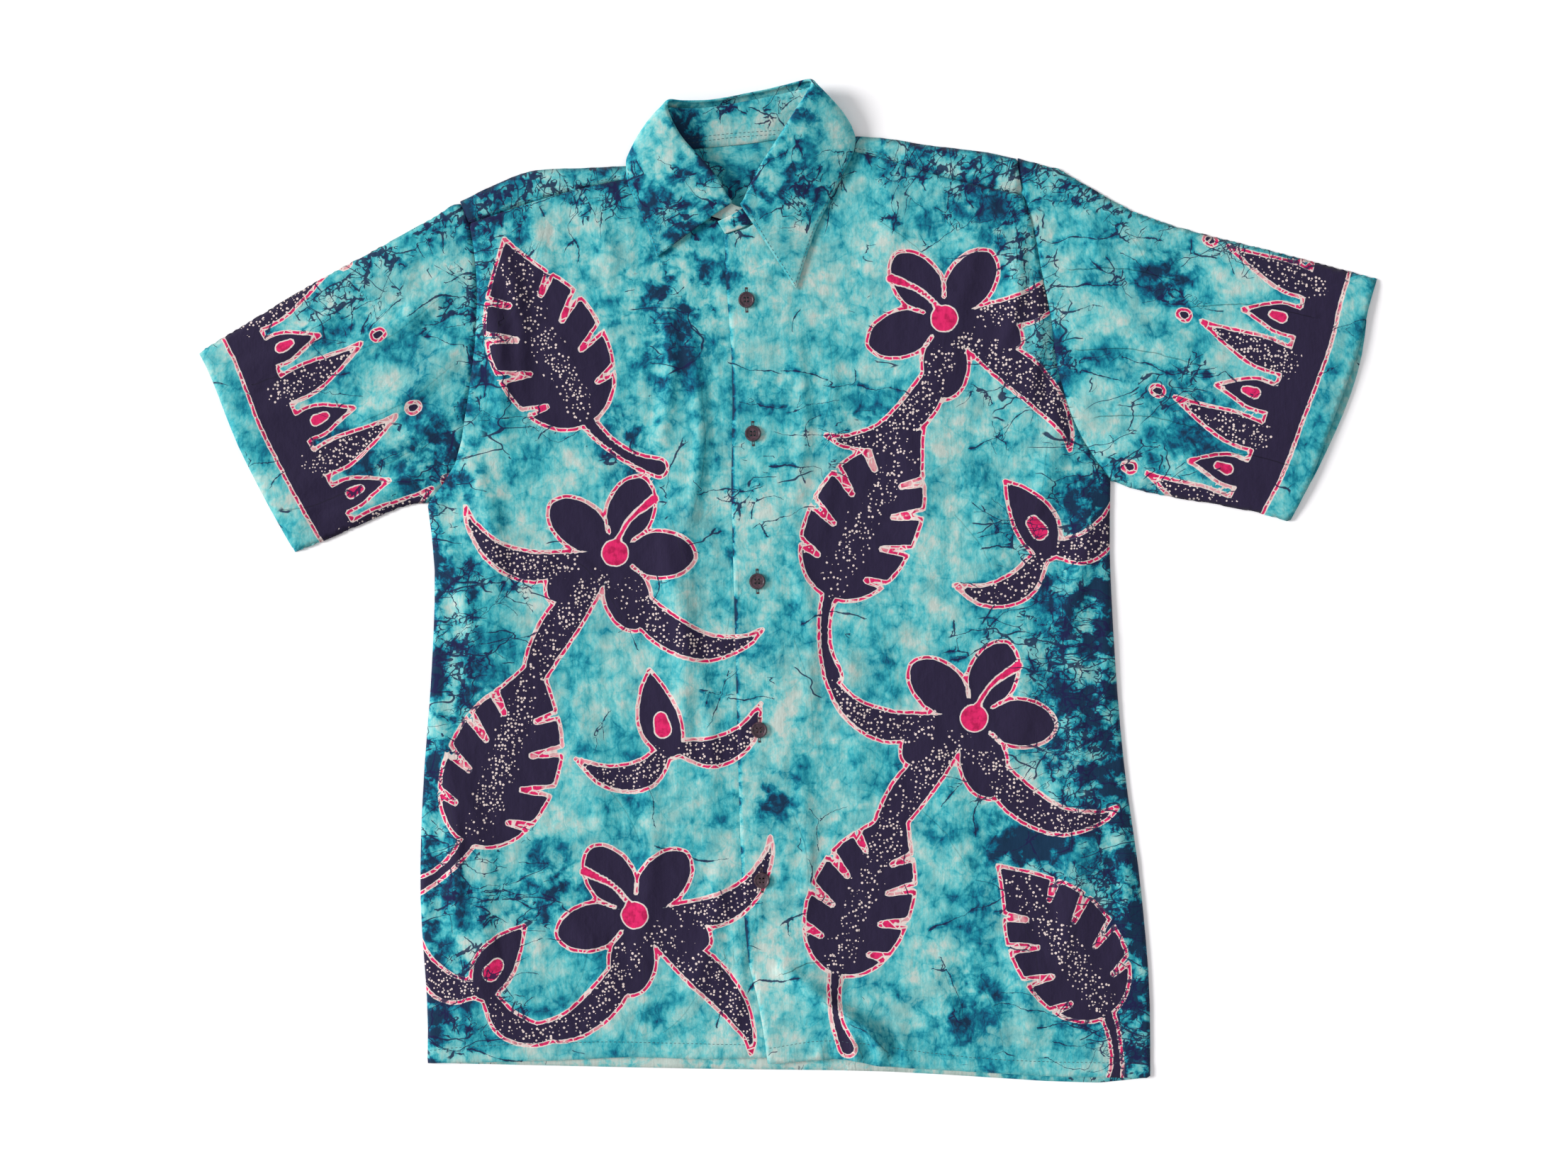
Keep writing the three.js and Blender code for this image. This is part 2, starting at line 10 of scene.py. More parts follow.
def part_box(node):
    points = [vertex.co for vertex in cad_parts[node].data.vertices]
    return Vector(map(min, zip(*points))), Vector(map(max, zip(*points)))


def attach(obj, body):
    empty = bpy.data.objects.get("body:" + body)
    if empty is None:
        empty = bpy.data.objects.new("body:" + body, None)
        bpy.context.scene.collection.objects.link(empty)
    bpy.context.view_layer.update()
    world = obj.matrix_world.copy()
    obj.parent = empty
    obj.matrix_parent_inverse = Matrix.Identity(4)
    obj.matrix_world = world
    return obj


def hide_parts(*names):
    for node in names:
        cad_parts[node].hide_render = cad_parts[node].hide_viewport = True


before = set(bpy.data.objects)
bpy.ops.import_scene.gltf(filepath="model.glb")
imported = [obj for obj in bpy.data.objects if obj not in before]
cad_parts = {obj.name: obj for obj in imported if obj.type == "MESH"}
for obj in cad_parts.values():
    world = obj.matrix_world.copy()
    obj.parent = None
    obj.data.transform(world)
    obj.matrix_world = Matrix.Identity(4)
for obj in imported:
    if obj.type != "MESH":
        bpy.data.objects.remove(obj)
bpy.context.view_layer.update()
print("frame loaded")

# Places are given in garment millimetres: x = 0 on the button line, y = 0 at the hem.
garment = {"shiftX": -29.5, "shiftY": -368.76291, "clothThick": 0.0007}
buttonPlaces = [(-1, 583.5), (1.2, 484), (1.6, 374), (0, 263.5), (-0.9, 151.7)]


def metres(x, y, z=0.0):
    return Vector(((x + garment["shiftX"]) / 1000, (y + garment["shiftY"]) / 1000, z / 1000))


def garmentXY(vertices):
    spots = np.array([v.co[:2] for v in vertices]) * 1000
    return spots - np.array([garment["shiftX"], garment["shiftY"]])


def smoothStep(low, high, value):
    t = np.clip((value - low) / (high - low), 0, 1)
    return t * t * (3 - 2 * t)


def fade(gap, wide):
    # 1 at no distance, soft towards 0 at about twice the width
    return np.exp(-((gap / wide) ** 2))


def spotGap(spots, x, y):
    return np.linalg.norm(spots - np.array([x, y]), axis=1)


def lineDistance(spots, line):
    # shortest distance from each spot to an open line, and the share of the line passed there
    line = np.array(line, float)
    best = np.full(len(spots), 1e9)
    share = np.zeros(len(spots))
    for i in range(len(line) - 1):
        start, along = line[i], line[i + 1] - line[i]
        t = np.clip(((spots - start) @ along) / max(along @ along, 1e-9), 0, 1)
        gap = np.linalg.norm(spots - start - t[:, None] * along, axis=1)
        nearer = gap < best
        best = np.where(nearer, gap, best)
        share = np.where(nearer, (i + t) / (len(line) - 1), share)
    return best, share


def smoothRow(points, steps):
    # Catmull-Rom line through rows of any width
    points = np.array(points, float)
    padded = np.vstack([2 * points[0] - points[1], points, 2 * points[-1] - points[-2]])
    rows = []
    for i in range(len(points) - 1):
        a, b, c, d = padded[i : i + 4]
        for k in range(steps):
            t = k / steps
            rows.append(0.5 * (2 * b + (c - a) * t + (2 * a - 5 * b + 4 * c - d) * t * t
                               + (3 * b - a - 3 * c + d) * t ** 3))
    rows.append(points[-1])
    return np.array(rows)


def inset(line, distance):
    # a line moved sideways, to its left where distance is above 0
    line = smoothRow(line, 6)
    along = np.gradient(line, axis=0)
    along /= np.linalg.norm(along, axis=1)[:, None]
    return line + np.stack([-along[:, 1], along[:, 0]], axis=1) * distance


def runOf(row):
    # length passed at each point of a row
    return np.concatenate([[0], np.cumsum(np.linalg.norm(np.diff(row, axis=0), axis=1))])


def pointAt(row, run, length):
    return np.interp(length, run, row[:, 0]), np.interp(length, run, row[:, 1])


# seams, edges and hems, as seen from above
lines = {
    "rightArmhole": [(-243, 438), (-221, 468), (-212, 507), (-206, 543), (-202, 580), (-202, 616),
                     (-206, 646), (-213, 663)],
    "leftArmhole": [(267, 442), (252, 464), (239, 490), (229, 528), (225, 566), (219, 597), (213, 635),
                    (207, 656), (203.4, 684)],
    "rightSeam": [(-206, 646), (-155, 662), (-118, 671), (-75, 679)],
    "leftSeam": [(207, 656), (144, 673), (100, 688), (59, 697)],
    "rightShoulder": [(-213, 663), (-185, 676), (-157, 685), (-118, 686), (-77, 687)],
    "leftShoulder": [(203, 684), (180, 690), (139, 696), (100, 703), (60, 705)],
    "backNeck": [(-77, 687), (-47, 696), (-6, 699), (29, 703), (60, 705)],
    "rightSide": [(-254, 21), (-253, 65), (-256, 145), (-252, 225), (-244, 305), (-239, 385), (-243, 438)],
    "leftSide": [(285, -4), (286, 65), (281, 145), (272, 225), (267, 305), (265, 385), (267, 442)],
    "rightSleeveHem": [(-343, 405), (-362, 442), (-380, 480), (-388, 500), (-402, 538), (-411, 556)],
    "leftSleeveHem": [(400, 408), (415, 437), (431, 477), (452, 530), (461, 562), (470, 588)],
    "rightSleeveTop": [(-213, 663), (-256, 640), (-319, 608), (-362, 584), (-411, 556)],
    "leftSleeveTop": [(203.4, 684), (237, 675), (277, 649), (320, 631), (395, 610), (470, 588)],
    "rightHemStitch": [(-256, 30.2), (-211.7, 33.4), (-125.9, 33.9), (-60, 31), (-16.5, 28.9)],
    "leftHemStitch": [(-15.5, 27.4), (0.1, 26.2), (51.7, 30.5), (125, 18.6), (190, 11.5), (284, 6.9)],
}


def nearestLine(spots, names):
    return np.minimum.reduce([lineDistance(spots, lines[name])[0] for name in names])


# how a layer of cloth is cut, in metres, and the passes that even it out
cutting = {"raysAbove": 0.06, "raysBelow": -0.02, "slotHalf": 0.0011, "slotReach": 0.0095, "slotStep": 0.0016,
           "rimCells": 1.7, "rimHalvings": 9, "rimPasses": 3, "levelPasses": 5, "tuckReach": 1.6}


def heightAt(tree, x, y, above, lowest, slots):
    for slotX, slotY in slots:  # a ray beside a buttonhole's slot instead of through it
        if abs(x - slotX) < cutting["slotHalf"] and abs(y - slotY) < cutting["slotReach"]:
            x += cutting["slotStep"]
    start = Vector((x, y, cutting["raysAbove" if above else "raysBelow"]))
    hit = tree.ray_cast(start, Vector((0, 0, -1 if above else 1)))
    if hit[0] is None or (lowest is not None and hit[0].z < lowest):
        return None
    return hit[0].z


def startGrid(low, high, cell):
    columns = math.ceil((high.x - low.x) / cell) + 2
    rows = math.ceil((high.y - low.y) / cell) + 2
    bm = bmesh.new()
    bmesh.ops.create_grid(bm, x_segments=columns, y_segments=rows, size=0.5)
    bmesh.ops.scale(bm, vec=(columns * cell, rows * cell, 1), verts=bm.verts)
    middle = (low + high) / 2
    bmesh.ops.translate(bm, vec=(middle.x, middle.y, 0), verts=bm.verts)
    return bm


def dropThinCorners(bm):
    # points with no face, and lone faces that stick out of the rim
    for _ in range(2):
        thin = [v for v in bm.verts if not v.link_faces]
        thin += [v for v in bm.verts if v.is_boundary and len(v.link_faces) == 1
                 and sum(e.other_vert(v).is_boundary for e in v.link_edges) == 2
                 and all(len(e.other_vert(v).link_faces) < 3 for e in v.link_edges)
                 and sum(len(e.other_vert(v).link_faces) for e in v.link_edges) < 3]
        if thin:
            bmesh.ops.delete(bm, geom=list(set(thin)), context="VERTS")


def cutLayer(tree, corners, cell, above=True, lowest=None, slots=(), tucks=()):
    # one layer of cloth: a grid cut to the outline that rays from one side meet
    bm = startGrid(*corners, cell)
    outside = []
    for v in bm.verts:
        z = heightAt(tree, v.co.x, v.co.y, above, lowest, slots)
        if z is None:
            outside.append(v)
        else:
            v.co.z = z
    bmesh.ops.delete(bm, geom=outside, context="VERTS")
    dropThinCorners(bm)
    rim = [v for v in bm.verts if v.is_boundary]
    away = {}
    for v in rim:
        centre = sum((f.calc_center_median() for f in v.link_faces), Vector()) / len(v.link_faces)
        out = v.co - centre
        out.z = 0
        away[v] = out.normalized() if out.length > 1e-9 else Vector()
    moves = {}
    for v, out in away.items():  # the rim moves out to the true edge, found by halving
        inner, outer = 0.0, cutting["rimCells"] * cell
        for _ in range(cutting["rimHalvings"]):
            half = (inner + outer) / 2
            spot = v.co + out * half
            if heightAt(tree, spot.x, spot.y, above, lowest, slots) is None:
                outer = half
            else:
                inner = half
        moves[v] = out * inner
    for v, move in moves.items():
        v.co += move
    near = {n for v in rim for e in v.link_edges for n in [e.other_vert(v)] if not n.is_boundary}
    for _ in range(cutting["rimPasses"]):
        bmesh.ops.smooth_vert(bm, verts=list(near), factor=0.5,
                              use_axis_x=True, use_axis_y=True, use_axis_z=False)
    for v in bm.verts:
        z = heightAt(tree, v.co.x, v.co.y, above, lowest, slots)
        if z is not None:
            v.co.z = z
    inside = [v for v in bm.verts if not v.is_boundary]
    for _ in range(cutting["levelPasses"]):
        bmesh.ops.smooth_vert(bm, verts=inside, factor=0.5,
                              use_axis_x=False, use_axis_y=False, use_axis_z=True)
    spots = garmentXY(rim)
    for line, shift, drop in tucks:  # an edge tucked under its neighbour: line, shift outwards and drop in mm
        gap, _ = lineDistance(spots, lines[line])
        for v, g in zip(rim, gap):
            if g < cutting["tuckReach"]:
                v.co += away[v] * (shift / 1000)
                v.co.z -= drop / 1000
    if not above:
        bmesh.ops.reverse_faces(bm, faces=bm.faces)
    return bm


def meshOf(bm, name):
    mesh = bpy.data.meshes.new(name)
    bm.to_mesh(mesh)
    bm.free()
    return mesh


def linked(name, data):
    made = bpy.data.objects.new(name, data)
    bpy.context.scene.collection.objects.link(made)
    return made


def addLayer(bm, other):
    mesh = meshOf(other, "layer")
    bm.from_mesh(mesh)
    bpy.data.meshes.remove(mesh)


def joinRims(bm, names, chosen, height, reach):
    # rim points chosen by their distance to some lines are set at one height in mm, where two layers merge
    rim = [v for v in bm.verts if v.is_boundary]
    fold = [v for v, gap in zip(rim, nearestLine(garmentXY(rim), names)) if chosen(gap)]
    for v in fold:
        v.co.z = height / 1000
    bmesh.ops.remove_doubles(bm, verts=fold, dist=reach)


# creases, listed one by one: from x, y to x, y in garment millimetres, height, half width
frontCreases = [
    (8, 88, 48, 56, 3.2, 5.5), (44, 60, 92, 18, 3.8, 4.6), (30, 78, 60, 70, 1.6, 5),
    (60, 40, 66, 6, 1.4, 4), (74, 46, 84, 4, 1.5, 4.5), (96, 40, 104, 2, 1.0, 5),
    (40, 34, 36, 10, 1.0, 4), (120, 70, 150, 22, 0.9, 8),
    (-62, 590, -70, 470, 1.6, 6), (-44, 560, -52, 400, 1.5, 5), (-70, 420, -58, 250, 1.3, 7),
    (-34, 470, -30, 330, -0.8, 4), (-50, 340, -40, 200, 1.1, 6), (-88, 250, -96, 90, 1.2, 8),
    (-200, 612, -186, 480, 1.7, 7), (-186, 640, -170, 520, 1.2, 6), (-210, 470, -190, 380, 1.3, 8),
    (-236, 420, -212, 300, 1.4, 8), (-246, 300, -232, 120, 1.3, 7), (-226, 260, -214, 60, 1.1, 9),
    (-160, 560, -110, 520, 0.9, 10), (-176, 400, -120, 340, 0.9, 12), (-170, 160, -110, 60, 1.0, 11),
    (-140, 300, -120, 180, 0.8, 10), (-30, 180, -60, 60, 1.1, 7), (-20, 120, -28, 30, 0.9, 5),
    (34, 560, 30, 430, 1.1, 6), (60, 540, 46, 400, 0.9, 7), (30, 400, 36, 260, 1.0, 6),
    (26, 240, 30, 120, 1.0, 6), (60, 330, 72, 200, 0.8, 9), (100, 520, 120, 400, 0.8, 11),
    (214, 600, 206, 500, 1.6, 7), (202, 640, 190, 540, 1.3, 6), (228, 520, 208, 410, 1.3, 8),
    (250, 440, 226, 330, 1.5, 9), (262, 380, 246, 240, 1.3, 8), (256, 230, 264, 70, 1.4, 8),
    (170, 640, 150, 560, 1.0, 9), (150, 470, 180, 370, 0.8, 12), (200, 330, 180, 220, 0.9, 12),
    (120, 260, 150, 140, 0.9, 12), (230, 180, 210, 60, 1.0, 10), (180, 110, 196, 20, 1.1, 9),
    (-120, 660, -100, 600, 0.9, 9), (-160, 650, -150, 600, 0.8, 8), (110, 670, 100, 600, 0.9, 10),
]
sleeveCreases = [
    (-220, 600, -300, 560, 1.7, 9), (-214, 560, -290, 500, 1.6, 9), (-222, 510, -300, 470, 1.4, 8),
    (-240, 470, -320, 430, 1.6, 8), (-300, 590, -380, 540, 1.2, 8), (-300, 470, -360, 450, 1.0, 9),
    (-330, 520, -390, 500, 0.9, 9), (-260, 620, -250, 560, 0.9, 7), (-330, 440, -345, 420, 0.8, 6),
    (232, 620, 320, 600, 1.6, 9), (236, 560, 330, 540, 1.6, 9), (246, 510, 330, 500, 1.5, 9),
    (262, 470, 350, 450, 1.6, 8), (330, 600, 420, 580, 1.1, 9), (340, 480, 410, 470, 1.0, 9),
    (360, 540, 440, 530, 0.9, 10), (300, 440, 380, 430, 0.9, 7), (250, 650, 262, 590, 0.8, 7),
]


def creaseRow(x0, y0, x1, y1):
    bow = 0.06 * math.hypot(x1 - x0, y1 - y0)  # a crease is never quite straight
    normal = np.array([y0 - y1, x1 - x0]) / math.hypot(x1 - x0, y1 - y0)
    middle = np.array([(x0 + x1) / 2, (y0 + y1) / 2]) + normal * bow
    return smoothRow([(x0, y0), middle, (x1, y1)], 6)


def creaseHeight(spots, creases):
    total = np.zeros(len(spots))
    for x0, y0, x1, y1, height, half in creases:
        gap, share = lineDistance(spots, creaseRow(x0, y0, x1, y1))
        swell = np.sqrt(np.clip(np.sin(np.pi * np.clip(share, 0, 1)), 0, 1))
        total += height * swell * fade(gap, half)
    return total


crumpling = {"warpSize": 60, "warp": 14, "ridge": 1.6, "fine": 0.35, "fineSize": 2.3}


def crumple(spots, size, stretch, seed):
    # short soft ridges, longer along y than along x where stretch is below 1
    out = np.empty(len(spots))
    for i, (x, y) in enumerate(spots):
        warp = noise.noise(Vector((x / crumpling["warpSize"], y / crumpling["warpSize"], seed + 5.0)))
        warp *= crumpling["warp"]
        place = Vector(((x + warp) / size, (y - warp) * stretch / size, seed))
        out[i] = 0.5 - abs(noise.noise(place)) * crumpling["ridge"]
        out[i] += crumpling["fine"] * noise.noise(place * crumpling["fineSize"])
    return out


# the print: blossoms, leaves and buds of strokes, each point with its half width in mm
sprays = {
    "blossom": {
        "fill": [
            [(math.sin(a) * r, math.cos(a) * r, w) for r, w in ((12, 9), (30, 18), (44, 16.5), (54, 9), (58, 5))]
            for a in [k * 2 * math.pi / 5 + 0.2 for k in range(5)]
        ] + [
            [(-8, -20, 6), (-30, -54, 14), (-44, -88, 12), (-48, -118, 5), (-44, -134, 0.6)],
            [(12, -24, 6), (42, -50, 13), (78, -62, 11), (108, -54, 5), (122, -42, 0.6)],
            [(-26, -8, 6), (-60, -20, 12), (-90, -14, 9), (-112, 4, 4), (-120, 18, 0.6)],
        ],
        "cut": [
            [(math.sin(a) * r, math.cos(a) * r, w) for r, w in ((17, 0.3), (30, 0.5), (46, 2.4))]
            for a in [(k + 0.5) * 2 * math.pi / 5 + 0.2 for k in (0, 1, 4)]
        ],
        "spine": [[(-8, -24), (-30, -54), (-44, -88), (-47, -112)], [(16, -28), (42, -50), (78, -62), (104, -55)],
                  [(-36, -12), (-60, -20), (-90, -14), (-108, 0)]],
        "accent": [[(0, 0, 10), (0.5, 0, 10)], [(0, 8, 1.8), (8, 28, 1.9), (24, 46, 3.4)]],
    },
    "leaf": {
        "fill": [
            [(0, -50, 11), (0, -30, 38), (0, 6, 41), (2, 42, 23), (6, 68, 8), (9, 82, 0.6)],
            [(-1, -48, 8), (4, -78, 5), (16, -104, 4.6), (32, -122, 7)],
        ],
        "cut": [
            [(58, -4, 6), (40, -10, 3.4), (22, -17, 1.2)], [(54, 28, 5), (36, 20, 3.2), (19, 9, 1.2)],
            [(42, 54, 4.4), (28, 45, 2.8), (14, 33, 1.2)], [(-58, -2, 6), (-40, -9, 3.4), (-21, -16, 1.2)],
            [(-54, 30, 5), (-36, 22, 3.2), (-18, 11, 1.2)], [(-38, 58, 4.4), (-25, 48, 2.8), (-11, 36, 1.2)],
            [(56, -38, 5), (38, -41, 3), (22, -44, 1.2)], [(-54, -36, 5), (-37, -40, 3), (-21, -43, 1.2)],
        ],
        "spine": [[(0, -56), (0, -20), (1, 20), (4, 58)]],
        "accent": [],
    },
    "bud": {
        "fill": [
            [(0, -10, 9), (0, 8, 16), (4, 28, 11), (10, 48, 0.8)],
            [(-6, -12, 6), (-28, -20, 11), (-52, -10, 8), (-68, 12, 0.6)],
            [(6, -14, 6), (28, -28, 11), (54, -26, 8), (74, -10, 0.6)],
        ],
        "cut": [],
        "spine": [[(-14, -16), (-28, -20), (-50, -11)], [(14, -20), (28, -28), (54, -26)]],
        "accent": [[(0, 4, 6.2), (2, 12, 4.8)]],
    },
}
# kind, x, y, turn in degrees, size, mirrored
frontPrint = [
    ("leaf", -152, 556, 26, 1.0, 1), ("blossom", -104, 398, -10, 0.96, 1), ("leaf", -190, 246, -24, 0.98, -1),
    ("bud", -70, 262, 24, 1.0, 1), ("blossom", -96, 128, 20, 0.96, -1), ("bud", -206, 84, -24, 0.95, 1),
    ("blossom", 146, 566, 24, 0.96, -1), ("leaf", 84, 420, -28, 0.96, 1), ("bud", 214, 402, 20, 1.0, -1),
    ("blossom", 160, 268, -14, 0.98, 1), ("leaf", 74, 138, -22, 0.9, 1), ("leaf", 222, 98, 32, 0.92, -1),
]
farOff = 40.0  # mm, the distance given wherever no stroke is near


def placed(row, spot):
    kind, x, y, turn, size, mirrored = spot
    turn = math.radians(turn)
    out = []
    for point in row:
        px, py = point[0] * size * mirrored, point[1] * size
        moved = [x + px * math.cos(turn) - py * math.sin(turn), y + px * math.sin(turn) + py * math.cos(turn)]
        out.append(moved + [w * size for w in point[2:]])
    return out


def strokeGap(spots, row):
    row = smoothRow(row, 7)
    widths = row[:, 2] if row.shape[1] > 2 else np.zeros(len(row))
    near = np.all((spots > row[:, :2].min(0) - farOff) & (spots < row[:, :2].max(0) + farOff), axis=1)
    gap = np.full(len(spots), farOff)
    if near.any():
        reach = np.linalg.norm(spots[near][:, None] - row[None, :, :2], axis=2) - widths
        gap[near] = np.minimum(farOff, reach.min(1))
    return gap


def strokesGap(spots, rows):
    return np.minimum.reduce([np.full(len(spots), farOff)] + [strokeGap(spots, row) for row in rows])


def printFields(spots, chosen):
    fields = {name: np.full(len(spots), farOff) for name in ("shape", "spine", "accent")}
    for spot in chosen:
        rows = {part: [placed(row, spot) for row in strokes] for part, strokes in sprays[spot[0]].items()}
        own = {"shape": strokesGap(spots, rows["fill"])}
        for row in rows["cut"]:
            own["shape"] = np.maximum(own["shape"], -strokeGap(spots, row))
        for name in ("spine", "accent"):
            own[name] = strokesGap(spots, rows[name])
        for name, gap in own.items():
            fields[name] = np.minimum(fields[name], gap)
    return fields


# a band along the sleeve's hem with pointed leaves, tall with a dot over them and short with a drop inside
sleeveBorder = {
    "fromHem": 35, "half": 14, "pitch": 30, "first": -0.3, "ends": 20, "overlap": 4, "leafHalf": 11,
    "leaf": ((0, 1.0), (0.3, 1.05), (0.62, 0.62), (0.86, 0.24), (1, 0.06)),  # share of length, of half width
    "tall": {"reach": 68, "lean": 7, "dotAway": 13, "dot": (4.2, 3, 3.4)},  # dot: half width, length, half width
    "short": {"reach": 42, "lean": -4, "dropShare": 0.3, "drop": (4.0, 8, 2.6)},
}


def borderFields(spots, hem):
    border = sleeveBorder
    hem = np.array(hem, float)
    along = hem[-1] - hem[0]
    length = np.linalg.norm(along)
    along /= length
    inward = np.array([-along[1], along[0]])
    if inward @ (np.array([0, 520]) - hem[0]) < 0:
        inward = -inward
    band = hem + inward * border["fromHem"]
    band = np.vstack([band[0] - along * border["ends"], band, band[-1] + along * border["ends"]])
    fill = lineDistance(spots, smoothRow(band, 5))[0] - border["half"]
    leaves, spines, drops = [], [], []
    for k in range(int(length / border["pitch"]) + 2):
        kind = border["tall" if k % 2 == 0 else "short"]
        foot = hem[0] + along * (k + border["first"]) * border["pitch"]
        foot += inward * (border["fromHem"] + border["half"] - border["overlap"])
        lean = along * kind["lean"]
        rows = [(*(foot + inward * kind["reach"] * t + lean * t * t), w * border["leafHalf"])
                for t, w in border["leaf"]]
        leaves.append(rows)
        if k % 2 == 0:
            spines.append([row[:2] for row in rows])
            dot = foot + inward * (kind["reach"] + kind["dotAway"]) + lean
            width, reach, tip = kind["dot"]
            leaves.append([(*dot, width), (*(dot + inward * reach), tip)])
        else:
            dot = foot + inward * kind["reach"] * kind["dropShare"]
            width, reach, tip = kind["drop"]
            drops.append([(*dot, width), (*(dot + inward * reach), tip)])
    return {"shape": np.minimum(fill, strokesGap(spots, leaves)), "spine": strokesGap(spots, spines),
            "accent": strokesGap(spots, drops)}


# where the vat left the cloth dark or pale: x, y, radius, strength
darkSpots = [
    (-235, 470, 34, 0.7), (-94, 484, 26, 0.6), (-50, 588, 40, 0.75), (-60, 540, 30, 0.5), (255, 357, 44, 0.8),
    (252, 257, 48, 0.9), (197, 165, 34, 0.7), (242, 105, 40, 0.75), (-161, 151, 36, 0.6), (-222, 287, 34, 0.55),
    (82, 485, 24, 0.5), (-226, 170, 40, 0.5), (314, 596, 20, 0.6), (10, 211, 18, 0.6), (190, 640, 40, 0.35),
    (-190, 640, 34, 0.45), (330, 480, 40, 0.4), (-300, 480, 34, 0.45), (-330, 560, 26, 0.4), (150, 60, 34, 0.4),
    (270, 40, 34, 0.6), (-20, 330, 24, 0.3), (60, 400, 24, 0.35), (-250, 90, 30, 0.5), (-30, 700, 20, 0.3),
]
paleSpots = [
    (3, 281, 46, 0.7), (-1, 434, 40, 0.6), (14, 117, 50, 0.8), (-155, 403, 44, 0.6), (-194, 451, 26, 0.5),
    (163, 231, 36, 0.4), (60, 160, 40, 0.5), (-130, 620, 44, 0.5), (110, 600, 40, 0.4), (36, 600, 34, 0.8),
    (-20, 60, 50, 0.6), (-170, 250, 34, 0.4), (180, 480, 40, 0.4), (-280, 540, 40, 0.1), (290, 560, 44, 0.1),
    (120, 380, 34, 0.4), (-70, 360, 34, 0.4), (10, 520, 30, 0.6),
]
# line, how far in, half width, strength; the first two stop at the armholes
darkSides = [("leftSide", 0, 30, 1.2), ("rightSide", 0, 17, 0.8)]
darkLines = [
    ("rightShoulder", 0, 7, 0.5), ("leftShoulder", 0, 6, 0.45), ("rightArmhole", 0, 6, 0.45),
    ("leftArmhole", 0, 7, 0.5), ("rightSeam", 0, 3, 0.4), ("leftSeam", 0, 3, 0.35),
    ("rightSide", -30, 7, 0.42), ("leftSide", 30, 12, 0.4),
]
# where the fine crackle is thick
webLines = [
    ("leftSide", 0, 95, 1.0), ("rightSide", 0, 60, 0.8), ("rightShoulder", 0, 34, 0.9),
    ("leftShoulder", 0, 34, 0.9), ("rightArmhole", 0, 22, 0.7), ("leftArmhole", 0, 22, 0.8),
    ("rightSleeveTop", 0, 36, 0.8), ("leftSleeveTop", 0, 36, 0.8),
]


def spotField(spots, places):
    field = np.zeros(len(spots))
    for x, y, radius, strength in places:
        field = np.maximum(field, strength * fade(spotGap(spots, x, y), radius))
    return field


def alongLines(field, spots, places, share=1.0):
    for name, far, wide, strength in places:
        line = inset(lines[name], far) if far else lines[name]
        field = np.maximum(field, strength * fade(lineDistance(spots, line)[0], wide) * share)
    return field


def dyeFields(spots):
    dark = spotField(spots, darkSpots)
    dark = alongLines(dark, spots, darkSides, smoothStep(470, 430, spots[:, 1]))
    dark = alongLines(dark, spots, darkLines)
    fields = {"dark": dark, "pale": spotField(spots, paleSpots), "web": alongLines(dark * 0.8, spots, webLines)}
    fields["veinGap"], fields["veinSide"], fields["veinBody"] = lineField(spots, veins)
    fields["foldGap"], fields["foldSide"], _ = lineField(spots, pressedFolds)
    return fields


# dark veins where the wax cracked before the last vat: starts at x, y, heading in degrees, length, how many,
# spread of the starts in x and y
veinSets = [
    (-250, 60, 4, 95, 12, 3, 30), (-248, 200, -8, 80, 10, 3, 60), (-240, 350, 12, 90, 9, 3, 60),
    (282, 70, 176, 120, 16, 4, 60), (276, 210, 186, 150, 16, 4, 70), (266, 350, 172, 130, 14, 4, 60),
    (-206, 560, 200, 60, 6, 3, 70), (-200, 560, -20, 70, 6, 3, 80), (214, 590, -10, 70, 8, 3, 70),
    (210, 580, 196, 90, 8, 3, 90), (-140, 672, -70, 60, 9, 60, 6), (130, 684, -110, 70, 10, 70, 8),
    (-300, 600, 206, 90, 8, 60, 26), (330, 620, -14, 110, 12, 80, 26), (-300, 500, 190, 70, 6, 60, 50),
    (340, 500, 0, 80, 7, 70, 50), (0, 300, 180, 60, 9, 30, 260), (30, 300, 0, 60, 9, 30, 260),
    (-100, 300, 90, 50, 8, 90, 260), (120, 300, 80, 50, 8, 90, 260),
    (-52, 672, -40, 46, 12, 26, 26), (50, 672, -120, 50, 11, 24, 30), (0, 722, 10, 40, 6, 40, 8),
]
# thick veins along the folds: line, how far in, least and greatest share of the line, half width
trunks = [
    ("rightShoulder", -5, 0.0, 0.62, 1.5), ("rightShoulder", -11, 0.1, 0.5, 0.8), ("rightSeam", -1, 0.0, 1.0, 0.5),
    ("leftShoulder", 6, 0.0, 0.55, 1.9), ("leftShoulder", 14, 0.0, 0.5, 0.7), ("leftSleeveTop", -6, 0.0, 0.5, 1.6),
    ("rightSleeveTop", 5, 0.0, 0.4, 1.2), ("leftSide", 26, 0.1, 0.62, 1.6), ("leftSide", 40, 0.45, 0.75, 0.9),
    ("rightSide", -26, 0.5, 0.85, 0.7), ("rightArmhole", -14, 0.5, 0.9, 0.8), ("leftArmhole", 12, 0.3, 0.9, 0.8),
]
